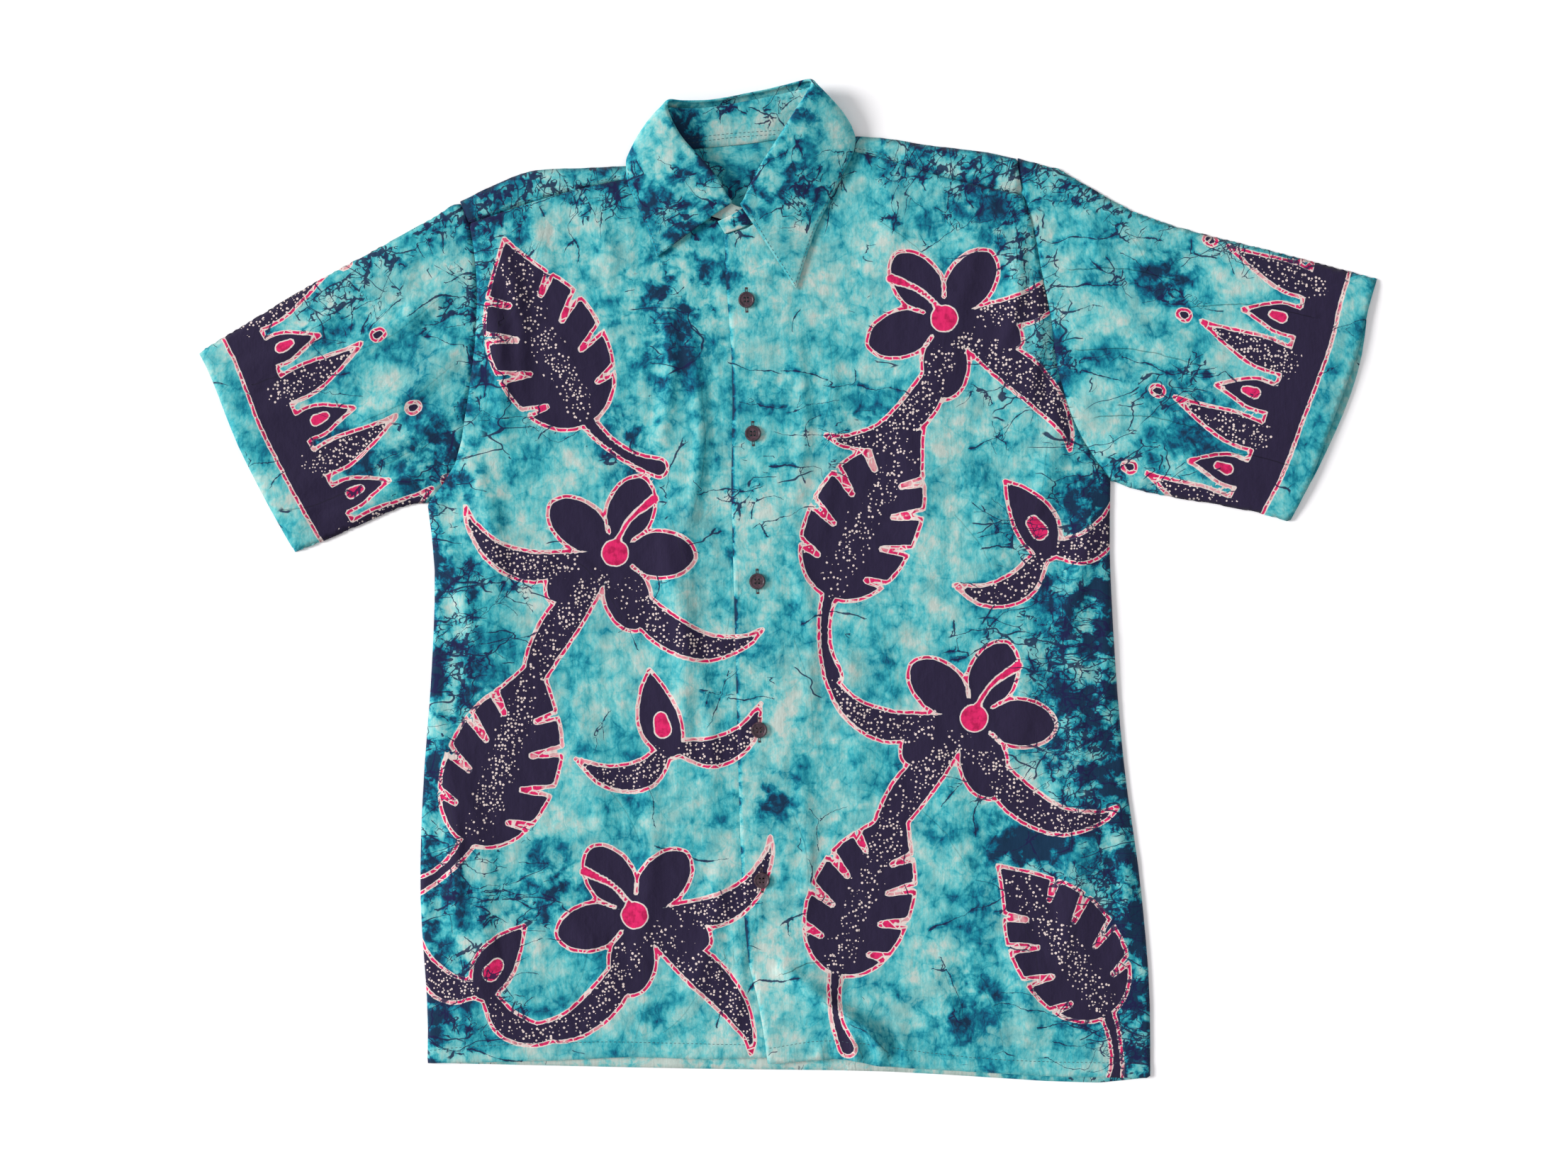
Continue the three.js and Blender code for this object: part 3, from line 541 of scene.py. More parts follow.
# short rungs like a ladder's across the folds: line, how far in, least and greatest share of the line
ladders = [("rightSide", -27, 0.05, 0.8), ("leftSide", 24, 0.0, 0.95), ("leftSide", 46, 0.1, 0.8),
           ("rightShoulder", -16, 0.0, 0.9), ("leftShoulder", 13, 0.0, 1.0), ("leftShoulder", 26, 0.1, 0.8),
           ("rightArmhole", -9, 0.3, 1.0), ("leftArmhole", 10, 0.3, 1.0), ("rightSleeveTop", 14, 0.0, 0.6),
           ("leftSleeveTop", -16, 0.0, 0.7)]
veinWays = {"step": 5.5, "trunkStep": 6, "trunkShake": 1.6, "trunkGaps": 0.14, "rungs": 0.6}


def wanderingVein(chance, x, y, heading, length):
    row = [(x, y)]
    turn = math.radians(heading)
    lean = chance.uniform(-0.25, 0.25)
    for _ in range(max(2, int(length / veinWays["step"]))):
        lean = 0.55 * lean + chance.uniform(-0.42, 0.42)
        x += veinWays["step"] * math.cos(turn + lean)
        y += veinWays["step"] * math.sin(turn + lean)
        row.append((x, y))
    return row


def stretchOf(name, far, low, high):
    row = inset(lines[name], far)
    row = row[int(low * len(row)) : max(int(high * len(row)), 2)]
    return row, runOf(row)


def layTrunks(chance):
    # thick knotted veins along the folds, in short lengths of their own width, with rungs on both sides
    made = []
    shake = veinWays["trunkShake"]
    for *place, half in trunks:
        row, run = stretchOf(*place)
        spots = []
        for s in np.linspace(0, run[-1], max(2, int(run[-1] / veinWays["trunkStep"]))):
            x, y = pointAt(row, run, s)
            spots.append((x + chance.uniform(-shake, shake), y + chance.uniform(-shake, shake)))
        for start, end in zip(spots[:-1], spots[1:]):
            if chance.random() < veinWays["trunkGaps"]:
                continue
            made.append((np.array([start, end]), half * chance.uniform(0.15, 1.0) ** 1.5))
            heading = math.degrees(math.atan2(end[1] - start[1], end[0] - start[0]))
            for side in (-90, 90):
                if chance.random() < veinWays["rungs"]:
                    turn = heading + side + chance.uniform(-25, 25)
                    made.append((np.array(wanderingVein(chance, *end, turn, chance.uniform(5, 16))), 0.0))
    return made


def layBranches(chance):
    rows = []
    for x, y, heading, length, count, wide, tall in veinSets:
        for _ in range(count):
            start = (x + chance.uniform(-wide, wide), y + chance.uniform(-tall, tall))
            turn = heading + chance.uniform(-24, 24)
            row = wanderingVein(chance, *start, turn, length * chance.uniform(0.35, 1.1))
            rows.append(row)
            for _ in range(chance.choice((0, 1, 1, 2))):  # side branches
                at = chance.choice(row[1:])
                turn = heading + chance.choice((-1, 1)) * chance.uniform(35, 80)
                rows.append(wanderingVein(chance, *at, turn, length * chance.uniform(0.12, 0.3)))
            if chance.random() < 0.35:  # a knot of short strokes
                at = chance.choice(row)
                for _ in range(chance.choice((3, 4, 5))):
                    rows.append(wanderingVein(chance, *at, chance.uniform(0, 360), chance.uniform(8, 15)))
    return rows


def layLadders(chance):
    rows = []
    for place in ladders:
        row, run = stretchOf(*place)
        at = 0.0
        while at < run[-1]:
            x, y = pointAt(row, run, at)
            nextX, nextY = pointAt(row, run, at + 3)
            heading = math.degrees(math.atan2(nextY - y, nextX - x)) if at + 3 < run[-1] else 90
            x += chance.uniform(-4, 4)
            if chance.random() < 0.72:
                turn = heading + chance.uniform(-12, 12)
                rows.append(wanderingVein(chance, x, y, turn, chance.uniform(9, 24)))
            if chance.random() < 0.6:
                turn = heading + 90 + chance.uniform(-28, 28)
                rows.append(wanderingVein(chance, x - 3, y, turn, chance.uniform(6, 18)))
            at += chance.uniform(6, 13)
    return rows


veinChance = random.Random(11)
thinVeins = layBranches(veinChance) + layLadders(veinChance)
veins = [(np.array(row), 0.0) for row in thinVeins] + layTrunks(random.Random(5))

# thin sharp folds beside the soft creases: from x, y to x, y
foldLines = [
    (-3, 143, -20, 92), (13, 82, 48, 90), (-28, 96, -38, 70), (50, 36, 60, 4), (40, 30, 41, 8), (66, 30, 72, 6),
    (84, 28, 92, 8), (-52, 66, -76, 40), (-40, 120, -34, 84), (170, 676, 206, 560), (206, 690, 200, 600),
    (-150, 640, -190, 560), (-186, 600, -200, 500), (100, 640, 150, 590), (60, 560, 52, 480), (-36, 520, -46, 420),
    (-60, 420, -52, 330), (-20, 400, -26, 320), (28, 330, 40, 250), (24, 200, 34, 150), (220, 470, 200, 400),
    (250, 330, 232, 250), (240, 200, 256, 120), (190, 120, 204, 70), (-236, 360, -214, 280), (-240, 240, -228, 150),
    (-210, 130, -200, 60), (-130, 110, -150, 60), (-90, 90, -100, 30), (130, 90, 140, 30), (160, 70, 176, 20),
    (-230, 590, -300, 550), (-222, 540, -290, 500), (-236, 490, -300, 460), (-310, 560, -370, 530),
    (-300, 450, -350, 436), (240, 600, 320, 590), (244, 540, 330, 528), (258, 490, 330, 480), (330, 570, 420, 560),
    (340, 460, 400, 450), (270, 640, 300, 600), (-250, 620, -270, 580), (-140, 400, -100, 350), (150, 420, 180, 370),
    (120, 200, 150, 160), (-120, 230, -90, 180), (90, 330, 100, 260), (-170, 330, -150, 270), (200, 560, 214, 480),
]
pressedFolds = [(creaseRow(*spot[:4]), 0.0) for spot in frontCreases[1:2] + foldLines]
noLine = 12.0  # mm, the distance given wherever no vein or fold is near


def lineField(spots, rows):
    # distance to the nearest line, the same with a sign for its two sides, so that a thin line stays sharp, and
    # that line's own half width
    gap = np.full(len(spots), noLine)
    side = np.full(len(spots), noLine)
    body = np.zeros(len(spots))
    for row, half in rows:
        low, high = row.min(0) - 8, row.max(0) + 8
        near = np.nonzero(np.all((spots > low) & (spots < high), axis=1))[0]
        if not len(near):
            continue
        here = spots[near]
        for start, end in zip(row[:-1], row[1:]):
            along = end - start
            t = np.clip(((here - start) @ along) / (along @ along), 0, 1)
            off = here - start - t[:, None] * along
            reach = np.linalg.norm(off, axis=1)
            sign = np.where(along[0] * off[:, 1] - along[1] * off[:, 0] < 0, -1.0, 1.0)
            nearer = reach < gap[near]
            gap[near] = np.where(nearer, reach, gap[near])
            side[near] = np.where(nearer, reach * sign, side[near])
            body[near] = np.where(nearer, half, body[near])
    return gap, side, body


def colour(red, green, blue):
    parts = [c / 255 for c in (red, green, blue)]
    return tuple(c / 12.92 if c <= 0.04045 else ((c + 0.055) / 1.055) ** 2.4 for c in parts) + (1.0,)


def addNode(tree, kind, settings=None, sockets=None):
    made = tree.nodes.new(kind)
    for key, value in (settings or {}).items():
        setattr(made, key, value)
    for key, value in (sockets or {}).items():
        if isinstance(value, bpy.types.NodeSocket):
            tree.links.new(value, made.inputs[key])
        else:
            made.inputs[key].default_value = value
    return made


def calc(tree, operation, *values):
    return addNode(tree, "ShaderNodeMath", {"operation": operation}, dict(enumerate(values))).outputs[0]


def plus(tree, first, second):
    return calc(tree, "ADD", first, second)


def times(tree, first, second):
    return calc(tree, "MULTIPLY", first, second)


def aboutNone(tree, value, amount):
    # a value from 0 to 1 turned into one on both sides of 0
    return times(tree, calc(tree, "SUBTRACT", value, 0.5), amount)


def blendColour(tree, amount, under, over, mode="MIX"):
    settings = {"data_type": "RGBA", "blend_type": mode}
    return addNode(tree, "ShaderNodeMix", settings, {0: amount, 6: under, 7: over}).outputs[2]


def rangeOf(tree, value, low, high, toLow=0.0, toHigh=1.0):
    made = addNode(tree, "ShaderNodeMapRange", {"interpolation_type": "SMOOTHSTEP"},
                   {0: value, 1: low, 2: high, 3: toLow, 4: toHigh})
    return made.outputs[0]


def within(tree, value, full, none):
    # 1 up to the first distance, 0 from the second one on
    return rangeOf(tree, value, full, none, 1.0, 0.0)


def vectorCalc(tree, operation, first, second):
    return addNode(tree, "ShaderNodeVectorMath", {"operation": operation}, {0: first, 1: second}).outputs[0]


def noiseNode(tree, vector, scale, detail=3.0, rough=0.55, distortion=0.0):
    return addNode(tree, "ShaderNodeTexNoise", None, {"Vector": vector, "Scale": scale, "Detail": detail,
                                                       "Roughness": rough, "Distortion": distortion})


def noiseOf(*settings):
    return noiseNode(*settings).outputs["Fac"]


def warped(tree, vector, scale, strength):
    shake = noiseNode(tree, vector, scale, 2.0).outputs["Color"]
    centred = vectorCalc(tree, "SUBTRACT", shake, (0.5, 0.5, 0.5))
    share = addNode(tree, "ShaderNodeVectorMath", {"operation": "SCALE"}, {0: centred, "Scale": strength})
    return vectorCalc(tree, "ADD", vector, share.outputs[0])


def cellsOf(tree, vector, scale, feature="DISTANCE_TO_EDGE"):
    return addNode(tree, "ShaderNodeTexVoronoi", {"feature": feature}, {"Vector": vector, "Scale": scale}).outputs


def newGroup(name, inputs, outputs):
    # a place goes in, with values that each have a start; colours and values come out
    group = bpy.data.node_groups.new(name, "ShaderNodeTree")
    group.interface.new_socket(name="Vector", in_out="INPUT", socket_type="NodeSocketVector")
    for label, value in inputs.items():
        socket = group.interface.new_socket(name=label, in_out="INPUT", socket_type="NodeSocketFloat")
        socket.default_value = value
    for label in outputs:
        kind = "NodeSocketColor" if label == "Color" else "NodeSocketFloat"
        group.interface.new_socket(name=label, in_out="OUTPUT", socket_type=kind)
    return group, group.nodes.new("NodeGroupInput").outputs, group.nodes.new("NodeGroupOutput").inputs


def closeGroup(group, made, values):
    for label, value in values.items():
        group.links.new(value, made[label])
    return group


dyeColours = {
    "palest": colour(180, 194, 187), "pale": colour(140, 190, 187), "aqua": colour(98, 178, 181),
    "turquoise": colour(56, 158, 168), "teal": colour(16, 122, 141), "deep": colour(6, 80, 110),
    "navy": colour(17, 46, 72), "dull": colour(126, 160, 154), "vivid": colour(120, 246, 252),
}
dyeStops = [(0.03, "palest"), (0.22, "pale"), (0.39, "aqua"), (0.55, "turquoise"), (0.71, "teal"), (0.87, "deep"),
            (1.0, "navy")]


def tieDyeGroup():
    # mottled vat dye: soft clouds, petals with darker rims inside them, dark and pale where the fields say
    group, given, made = newGroup("tie dye", {"Dark": 0.0, "Pale": 0.0}, ["Color"])
    place = given["Vector"]
    clouds = noiseOf(group, place, 21, 3.0, 0.5, 0.25)
    feathers = noiseOf(group, warped(group, place, 90, 0.006), 84, 5.0, 0.6, 0.3)
    value = calc(group, "MULTIPLY_ADD", calc(group, "SUBTRACT", clouds, 0.5), 1.18, 0.425)
    value = plus(group, value, aboutNone(group, feathers, 0.75))
    for scale, shake, strength, share in ((46, 60, 0.016, 0.34), (110, 150, 0.006, 0.24)):
        petals = cellsOf(group, warped(group, place, shake, strength), scale, "F1")
        value = plus(group, value, aboutNone(group, petals["Distance"], share))
    stretched = vectorCalc(group, "MULTIPLY", warped(group, place, 40, 0.02), (1.5, 0.6, 1.0))
    value = plus(group, value, aboutNone(group, noiseOf(group, stretched, 210, 4.0, 0.65), 0.62))
    for scale, width, share in ((40, 0.04, 0.08), (110, 0.08, 0.05)):
        folds = cellsOf(group, warped(group, place, scale * 1.3, 0.6 / scale), scale)
        value = plus(group, value, rangeOf(group, folds["Distance"], 0.0, width, share, 0.0))
    ragged = rangeOf(group, plus(group, feathers, times(group, clouds, 0.6)), 0.66, 0.92, 0.25, 1.3)
    value = plus(group, value, times(group, times(group, given["Dark"], ragged), 0.62))
    lighter = rangeOf(group, feathers, 0.35, 0.65, 1.3, 0.4)
    value = calc(group, "SUBTRACT", value, times(group, times(group, given["Pale"], lighter), 0.22))
    ramp = addNode(group, "ShaderNodeValToRGB", None, {0: value})
    elements = ramp.color_ramp.elements
    for element, (position, name) in zip(elements, (dyeStops[0], dyeStops[-1])):
        element.position, element.color = position, dyeColours[name]
    for position, name in dyeStops[1:-1]:
        elements.new(position).color = dyeColours[name]
    dull = noiseOf(group, warped(group, place, 30, 0.02), 34, 4.0, 0.6)
    grey = times(group, rangeOf(group, dull, 0.48, 0.72, 0.0, 0.42), within(group, value, 0.5, 0.72))
    tint = blendColour(group, grey, ramp.outputs[0], dyeColours["dull"])
    vivid = rangeOf(group, dull, 0.44, 0.26, 0.0, 0.4)
    return closeGroup(group, made, {"Color": blendColour(group, vivid, tint, dyeColours["vivid"], "MULTIPLY")})


# cells a metre, shake, its strength, line width, what must be passed for a line to show
crackleNets = [(22, 40, 0.018, 0.0004, 0.61), (50, 90, 0.009, 0.00034, 0.64), (105, 160, 0.005, 0.0003, 0.7)]


def crackleGroup():
    # dark hairlines where the wax cracked: long wandering veins, and a finer web where the dye is dark
    group, given, made = newGroup("crackle", {"Web": 0.0}, ["Line"])
    place = given["Vector"]
    squeezed = vectorCalc(group, "MULTIPLY", place, (0.62, 1.25, 1.0))
    patches = times(group, noiseOf(group, place, 13, 1.0), 0.5)
    near = times(group, given["Web"], 0.17)
    nets = []
    for scale, shake, strength, width, shown in crackleNets:
        cells = cellsOf(group, warped(group, squeezed, shake, strength), scale)
        thick = noiseOf(group, place, scale * 1.7, 1.0)
        edge = times(group, rangeOf(group, thick, 0.4, 0.7, 0.7, 1.5), width * scale)
        line = within(group, calc(group, "DIVIDE", cells["Distance"], edge), 0.7, 1.15)
        local = times(group, noiseOf(group, place, scale * 0.9, 1.0), 0.5)
        here = plus(group, plus(group, patches, local), near)
        nets.append(times(group, line, rangeOf(group, here, shown - 0.008, shown + 0.008)))
    line = calc(group, "MAXIMUM", calc(group, "MAXIMUM", nets[0], nets[1]), nets[2])
    return closeGroup(group, made, {"Line": line})


def veinGroup():
    # the placed veins: thin ragged lines, thicker here and there, with a soft dyed edge
    group, given, made = newGroup("veins", {"Gap": noLine, "Side": noLine, "Body": 0.0}, ["Line", "Halo"])
    place, gap, body = given["Vector"], given["Gap"], given["Body"]
    shake = aboutNone(group, noiseOf(group, place, 330, 3.0), 1.8)
    off = calc(group, "ABSOLUTE", plus(group, given["Side"], shake))
    thick = noiseOf(group, place, 70, 3.0, 0.6)
    ragged = rangeOf(group, noiseOf(group, place, 210, 3.0, 0.65), 0.35, 0.62, 0.2, 1.4)
    half = plus(group, rangeOf(group, thick, 0.42, 0.72, 0.16, 0.85), times(group, body, ragged))
    inside = within(group, calc(group, "SUBTRACT", gap, body), 1.7, 2.3)
    line = times(group, within(group, calc(group, "DIVIDE", off, half), 0.8, 1.25), inside)
    halo = times(group, within(group, gap, 0.6, 3.4), rangeOf(group, thick, 0.45, 0.68))
    return closeGroup(group, made, {"Line": line, "Halo": halo})


def foldGroup():
    # a pressed fold: a sharp step that fades away on both sides, and a thin painted shade that darkens the colour in
    # its root
    group, given, made = newGroup("fold line", {"Gap": noLine, "Side": noLine}, ["Height", "Shade"])
    off = plus(group, given["Side"], aboutNone(group, noiseOf(group, given["Vector"], 120, 2.0), 2.2))
    step = times(group, rangeOf(group, off, -0.5, 0.5), within(group, given["Gap"], 1.6, 7.5))
    # painted shade: the colour is darkened along the fold's root
    root = times(group, within(group, calc(group, "ABSOLUTE", off), 0.15, 0.7), within(group, given["Gap"], 1.8, 2.6))
    return closeGroup(group, made, {"Height": step, "Shade": root})


def waxPrintGroup():
    # navy shapes inside a wax line: pale rims, pink pieces between them, cream dots along each spine
    fields = {"Shape": farOff, "Spine": farOff, "Accent": farOff}
    group, given, made = newGroup("wax print", fields, ["Wax", "Pink", "Navy", "Dots"])
    place = given["Vector"]
    hand = aboutNone(group, noiseOf(group, place, 160, 2.0), 1.5)
    shape, accent = plus(group, given["Shape"], hand), plus(group, given["Accent"], hand)
    nearEdge = calc(group, "ABSOLUTE", shape)
    wax = calc(group, "MAXIMUM", within(group, nearEdge, 1.5, 1.75), within(group, accent, 0.6, 1.0))
    solid = rangeOf(group, cellsOf(group, place, 128)["Distance"], 0.03, 0.075)
    worn = rangeOf(group, noiseOf(group, place, 38, 3.0, 0.6), 0.36, 0.5)
    line = times(group, within(group, nearEdge, 0.78, 1.02), solid)
    line = times(group, line, calc(group, "MULTIPLY_ADD", worn, 0.7, 0.5))
    pink = calc(group, "MAXIMUM", line, within(group, accent, -0.4, 0.0))
    navy = times(group, within(group, shape, -1.75, -1.45), rangeOf(group, accent, 0.6, 1.0))
    dots = addNode(group, "ShaderNodeTexVoronoi", {"feature": "F1"},
                   {"Vector": place, "Scale": 400, "Randomness": 0.8}).outputs
    flat = addNode(group, "ShaderNodeSeparateColor", None, {0: dots["Color"]}).outputs
    spot = calc(group, "LESS_THAN", dots["Distance"], rangeOf(group, flat[0], 0.0, 1.0, 0.22, 0.38))
    spot = times(group, spot, calc(group, "LESS_THAN", flat[1], within(group, given["Spine"], 5.0, 15.0)))
    return closeGroup(group, made, {"Wax": wax, "Pink": pink, "Navy": navy, "Dots": times(group, spot, navy)})


def weaveGroup():
    # plain weave: threads over and under, with slubs
    group, given, made = newGroup("weave", {}, ["Height", "Shade"])
    place = given["Vector"]
    bands = [addNode(group, "ShaderNodeTexWave", {"wave_type": "BANDS", "bands_direction": direction},
                     {"Vector": place, "Scale": 560, "Distortion": 0.6, "Detail": 1.0, "Detail Scale": 0.4})
             for direction in ("X", "Y")]
    height = times(group, bands[0].outputs["Fac"], bands[1].outputs["Fac"])
    slubs = noiseOf(group, vectorCalc(group, "MULTIPLY", place, (900, 60, 900)), 1.0, 2.0)
    return closeGroup(group, made, {"Height": height, "Shade": rangeOf(group, slubs, 0.3, 0.7, 0.93, 1.05)})


groups = {"dye": tieDyeGroup(), "crackle": crackleGroup(), "wax": waxPrintGroup(), "weave": weaveGroup(),
          "veins": veinGroup(), "fold": foldGroup()}
printColours = {"cream": colour(212, 196, 190), "pink": colour(208, 36, 96), "deepPink": colour(172, 24, 76),
                "navy": colour(38, 31, 56), "vein": colour(24, 26, 66)}


def readField(tree, name):
    return addNode(tree, "ShaderNodeAttribute", {"attribute_name": name}).outputs["Fac"]


def useGroup(tree, name, place, inputs):
    # a group at a place on the cloth; an input given by name is read from that field of the piece
    sockets = {"Vector": place}
    for label, given in inputs.items():
        sockets[label] = readField(tree, given) if isinstance(given, str) else given
    return addNode(tree, "ShaderNodeGroup", {"node_tree": groups[name]}, sockets).outputs


def shaderBase(name, roughness, sheen=0.0, shine=0.5):
    material = bpy.data.materials.new(name)
    material.use_nodes = True
    tree = material.node_tree
    shader = tree.nodes["Principled BSDF"]
    shader.inputs["Roughness"].default_value = roughness
    shader.inputs["Specular IOR Level"].default_value = shine
    shader.inputs["Sheen Weight"].default_value = sheen
    shader.inputs["Sheen Roughness"].default_value = 0.5
    place = addNode(tree, "ShaderNodeTexCoord").outputs["Object"]
    return material, tree, shader, place


def addBump(tree, shader, height, strength, distance):
    bump = addNode(tree, "ShaderNodeBump", None, {"Strength": strength, "Distance": distance, "Height": height})
    tree.links.new(bump.outputs[0], shader.inputs["Normal"])


def clothMaterial(name, printed, shift, turn):
    # each piece is cut from its own part of the dyed cloth, so the pattern is shifted and turned for it
    material, tree, shader, place = shaderBase(name, 0.85, 0.05, 0.12)
    cut = addNode(tree, "ShaderNodeMapping", None, {"Vector": place, "Location": shift,
                                                    "Rotation": (0, 0, math.radians(turn))}).outputs[0]
    laid = useGroup(tree, "veins", place, {"Gap": "veinGap", "Side": "veinSide", "Body": "veinBody"})
    deeper = plus(tree, readField(tree, "dark"), times(tree, laid["Halo"], 0.5))
    tint = useGroup(tree, "dye", cut, {"Dark": deeper, "Pale": "pale"})["Color"]
    cracks = useGroup(tree, "crackle", cut, {"Web": "web"})["Line"]
    vein = times(tree, calc(tree, "MAXIMUM", cracks, laid["Line"]), 0.92)
    if printed:
        wax = useGroup(tree, "wax", place, {"Shape": "shape", "Spine": "spine", "Accent": "accent"})
        wash = rangeOf(tree, noiseOf(tree, place, 210, 3.0), 0.42, 0.66)
        pinks = blendColour(tree, wash, printColours["pink"], printColours["deepPink"])
        tint = blendColour(tree, wax["Wax"], tint, printColours["cream"])
        tint = blendColour(tree, wax["Pink"], tint, pinks)
    tint = blendColour(tree, vein, tint, printColours["vein"])
    if printed:
        tint = blendColour(tree, wax["Navy"], tint, printColours["navy"])
        tint = blendColour(tree, wax["Dots"], tint, printColours["cream"])
    weave = useGroup(tree, "weave", place, {})
    fold = useGroup(tree, "fold", place, {"Gap": "foldGap", "Side": "foldSide"})
    # the weave's slub tone, times a painted shade that darkens each fold's root
    slubToneAndFoldShade = times(tree, weave["Shade"], rangeOf(tree, fold["Shade"], 0.0, 1.0, 1.0, 0.62))
    grey = addNode(tree, "ShaderNodeCombineColor", None, {0: slubToneAndFoldShade, 1: slubToneAndFoldShade, 2: slubToneAndFoldShade}).outputs[0]
    tree.links.new(blendColour(tree, 1.0, tint, grey, "MULTIPLY"), shader.inputs["Base Color"])
    small = noiseOf(tree, vectorCalc(tree, "MULTIPLY", place, (1.0, 0.6, 1.0)), 170, 3.0, 0.6)
    height = plus(tree, times(tree, weave["Height"], 0.05), times(tree, small, 0.7))
    for scale, share in ((62, 0.13), (135, 0.06)):
        facets = cellsOf(tree, warped(tree, place, scale * 1.2, 0.9 / scale), scale)
        height = plus(tree, height, rangeOf(tree, facets["Distance"], 0.0, 0.16, share, 0.0))
    addBump(tree, shader, plus(tree, height, times(tree, fold["Height"], 0.9)), 0.6, 0.001)
    return material


def threadMaterial(name, low, high):
    material, tree, shader, place = shaderBase(name, 0.7, 0.2)
    twist = addNode(tree, "ShaderNodeTexWave", {"wave_type": "BANDS", "bands_direction": "DIAGONAL"},
                    {"Vector": place, "Scale": 420, "Distortion": 0.4}).outputs["Fac"]
    wear = times(tree, noiseOf(tree, place, 90, 3.0), 0.5)
    share = calc(tree, "MULTIPLY_ADD", twist, 0.5, wear)
    tree.links.new(blendColour(tree, share, low, high), shader.inputs["Base Color"])
    addBump(tree, shader, twist, 0.6, 0.0002)
    return material


def buttonMaterial():
    material, tree, shader, place = shaderBase("plum button", 0.36)
    swirl = noiseOf(tree, warped(tree, place, 120, 0.006), 240, 4.0, 0.6, 0.8)
    tint = blendColour(tree, rangeOf(tree, swirl, 0.35, 0.68), colour(46, 30, 40), colour(80, 56, 66))
    tree.links.new(tint, shader.inputs["Base Color"])
    tree.links.new(rangeOf(tree, swirl, 0.3, 0.7, 0.3, 0.46), shader.inputs["Roughness"])
    addBump(tree, shader, noiseOf(tree, place, 900, 2.0), 0.2, 0.0001)
    return material


materials = {
    "front_right": clothMaterial("printed cotton, right front", True, (0, 0, 0), 0),
    "front_left": clothMaterial("printed cotton, left front", True, (1.3, 0.4, 0), 4),
    "sleeve_right": clothMaterial("printed cotton, right sleeve", True, (2.1, 1.7, 0), 28),
    "sleeve_left": clothMaterial("printed cotton, left sleeve", True, (3.4, 2.2, 0), -24),
    "back": clothMaterial("dyed cotton, back", False, (0.7, 3.1, 0), 90),
    "collar": clothMaterial("dyed cotton, collar", False, (4.2, 0.9, 0.3), 63),
    "collar_band": clothMaterial("dyed cotton, band", False, (1.9, 4.6, 0.6), -12),
    "darkThread": threadMaterial("dark thread", colour(26, 40, 56), colour(40, 74, 88)),
    "plumThread": threadMaterial("plum thread", colour(34, 18, 26), colour(70, 44, 52)),
    "button": buttonMaterial(),
}
print("materials made")


def mergedCopy(node):
    bm = bmesh.new()
    bm.from_mesh(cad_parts[node].data)
    bmesh.ops.remove_doubles(bm, verts=bm.verts, dist=0.000001)
    return bm


def cadTree(node):
    bm = mergedCopy(node)
    tree = BVHTree.FromBMesh(bm)
    bm.free()
    return tree


trees = {name: cadTree(name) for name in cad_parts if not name.startswith("button")}


def addPiece(name, mesh, material, node=None, thick=0):
    mesh.shade_smooth()
    mesh.materials.append(material)
    piece = linked(name, mesh)
    if thick:
        wall = piece.modifiers.new("cloth thickness", "SOLIDIFY")
        wall.thickness = thick
        wall.offset = -1
    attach(piece, "root")
    if node:
        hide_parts(node)
    return piece


def finishCloth(bm, node, fields, thick=garment["clothThick"]):
    tree = BVHTree.FromBMesh(bm)
    mesh = meshOf(bm, node + "_cloth")
    for name, values in fields.items():
        layer = mesh.attributes.new(name, "FLOAT", "POINT")
        layer.data.foreach_set("value", np.asarray(values, np.float32))
    return addPiece(node + "_cloth", mesh, materials[node], node, thick), tree


def crumpleHeight(spots, layers):
    return sum(height * crumple(spots, size, stretch, seed) for size, stretch, seed, height in layers)


fronts = {
    "cell": 0.0023,
    "tucks": [("Side", 0, 0.9), ("Armhole", 0.1, 0.2), ("Seam", 0.25, 0.35)],
    "creaseShare": 1.8,
    "crumples": [(17, 0.62, 2.0, 0.55), (7.5, 0.8, 9.0, 0.275)],  # size, stretch, seed, height in mm
    "deepest": -0.25, "atSeams": 0.25, "seamReach": 9,
    "buttonClear": (6.5, 15), "collarClear": (2.0, 11.0), "collarFrom": 560, "collarWide": 150,
    "hemStep": 0.3, "groove": 0.28, "grooveHalf": 1.5,
    "facing": {"edge": 20, "soft": 1.2, "step": 0.28, "fadesFrom": 600, "fadesTo": 640},
    # the overlap's dark edge is a painted shade line, made by raising the dye's dark field at the rim
    "overlap": {"from": -26, "to": -8, "top": 640, "dark": 0.9},  # the overlap's edge is a dark line
}


def clearOf(spots, zs):
    # 0 on a front where the collar or a button lies on it, 1 away from them
    free = np.ones(len(spots))
    for x, y in buttonPlaces:
        free = np.minimum(free, smoothStep(*fronts["buttonClear"], spotGap(spots, x, y)))
    for i, (x, y) in enumerate(spots):
        if y > fronts["collarFrom"] and abs(x) < fronts["collarWide"]:
            found = trees["collar"].find_nearest(metres(x, y, zs[i] * 1000))
            if found[0] is not None:
                free[i] = min(free[i], float(smoothStep(*fronts["collarClear"], found[3] * 1000)))
    return free


def frontRelief(spots, zs, hem):
    high = fronts["creaseShare"] * creaseHeight(spots, frontCreases) + crumpleHeight(spots, fronts["crumples"])
    seams = [side + seam for seam in ("Armhole", "Seam", "Side") for side in ("right", "left")]
    free = smoothStep(0, fronts["seamReach"], nearestLine(spots, seams)) * (1 - fronts["atSeams"])
    high = np.maximum(high, fronts["deepest"]) * (fronts["atSeams"] + free) * clearOf(spots, zs)
    hemY = np.interp(spots[:, 0], *zip(*hem))
    high += fronts["hemStep"] * smoothStep(1.0, -1.0, spots[:, 1] - hemY)
    return high - fronts["groove"] * fade(lineDistance(spots, hem)[0], fronts["grooveHalf"])


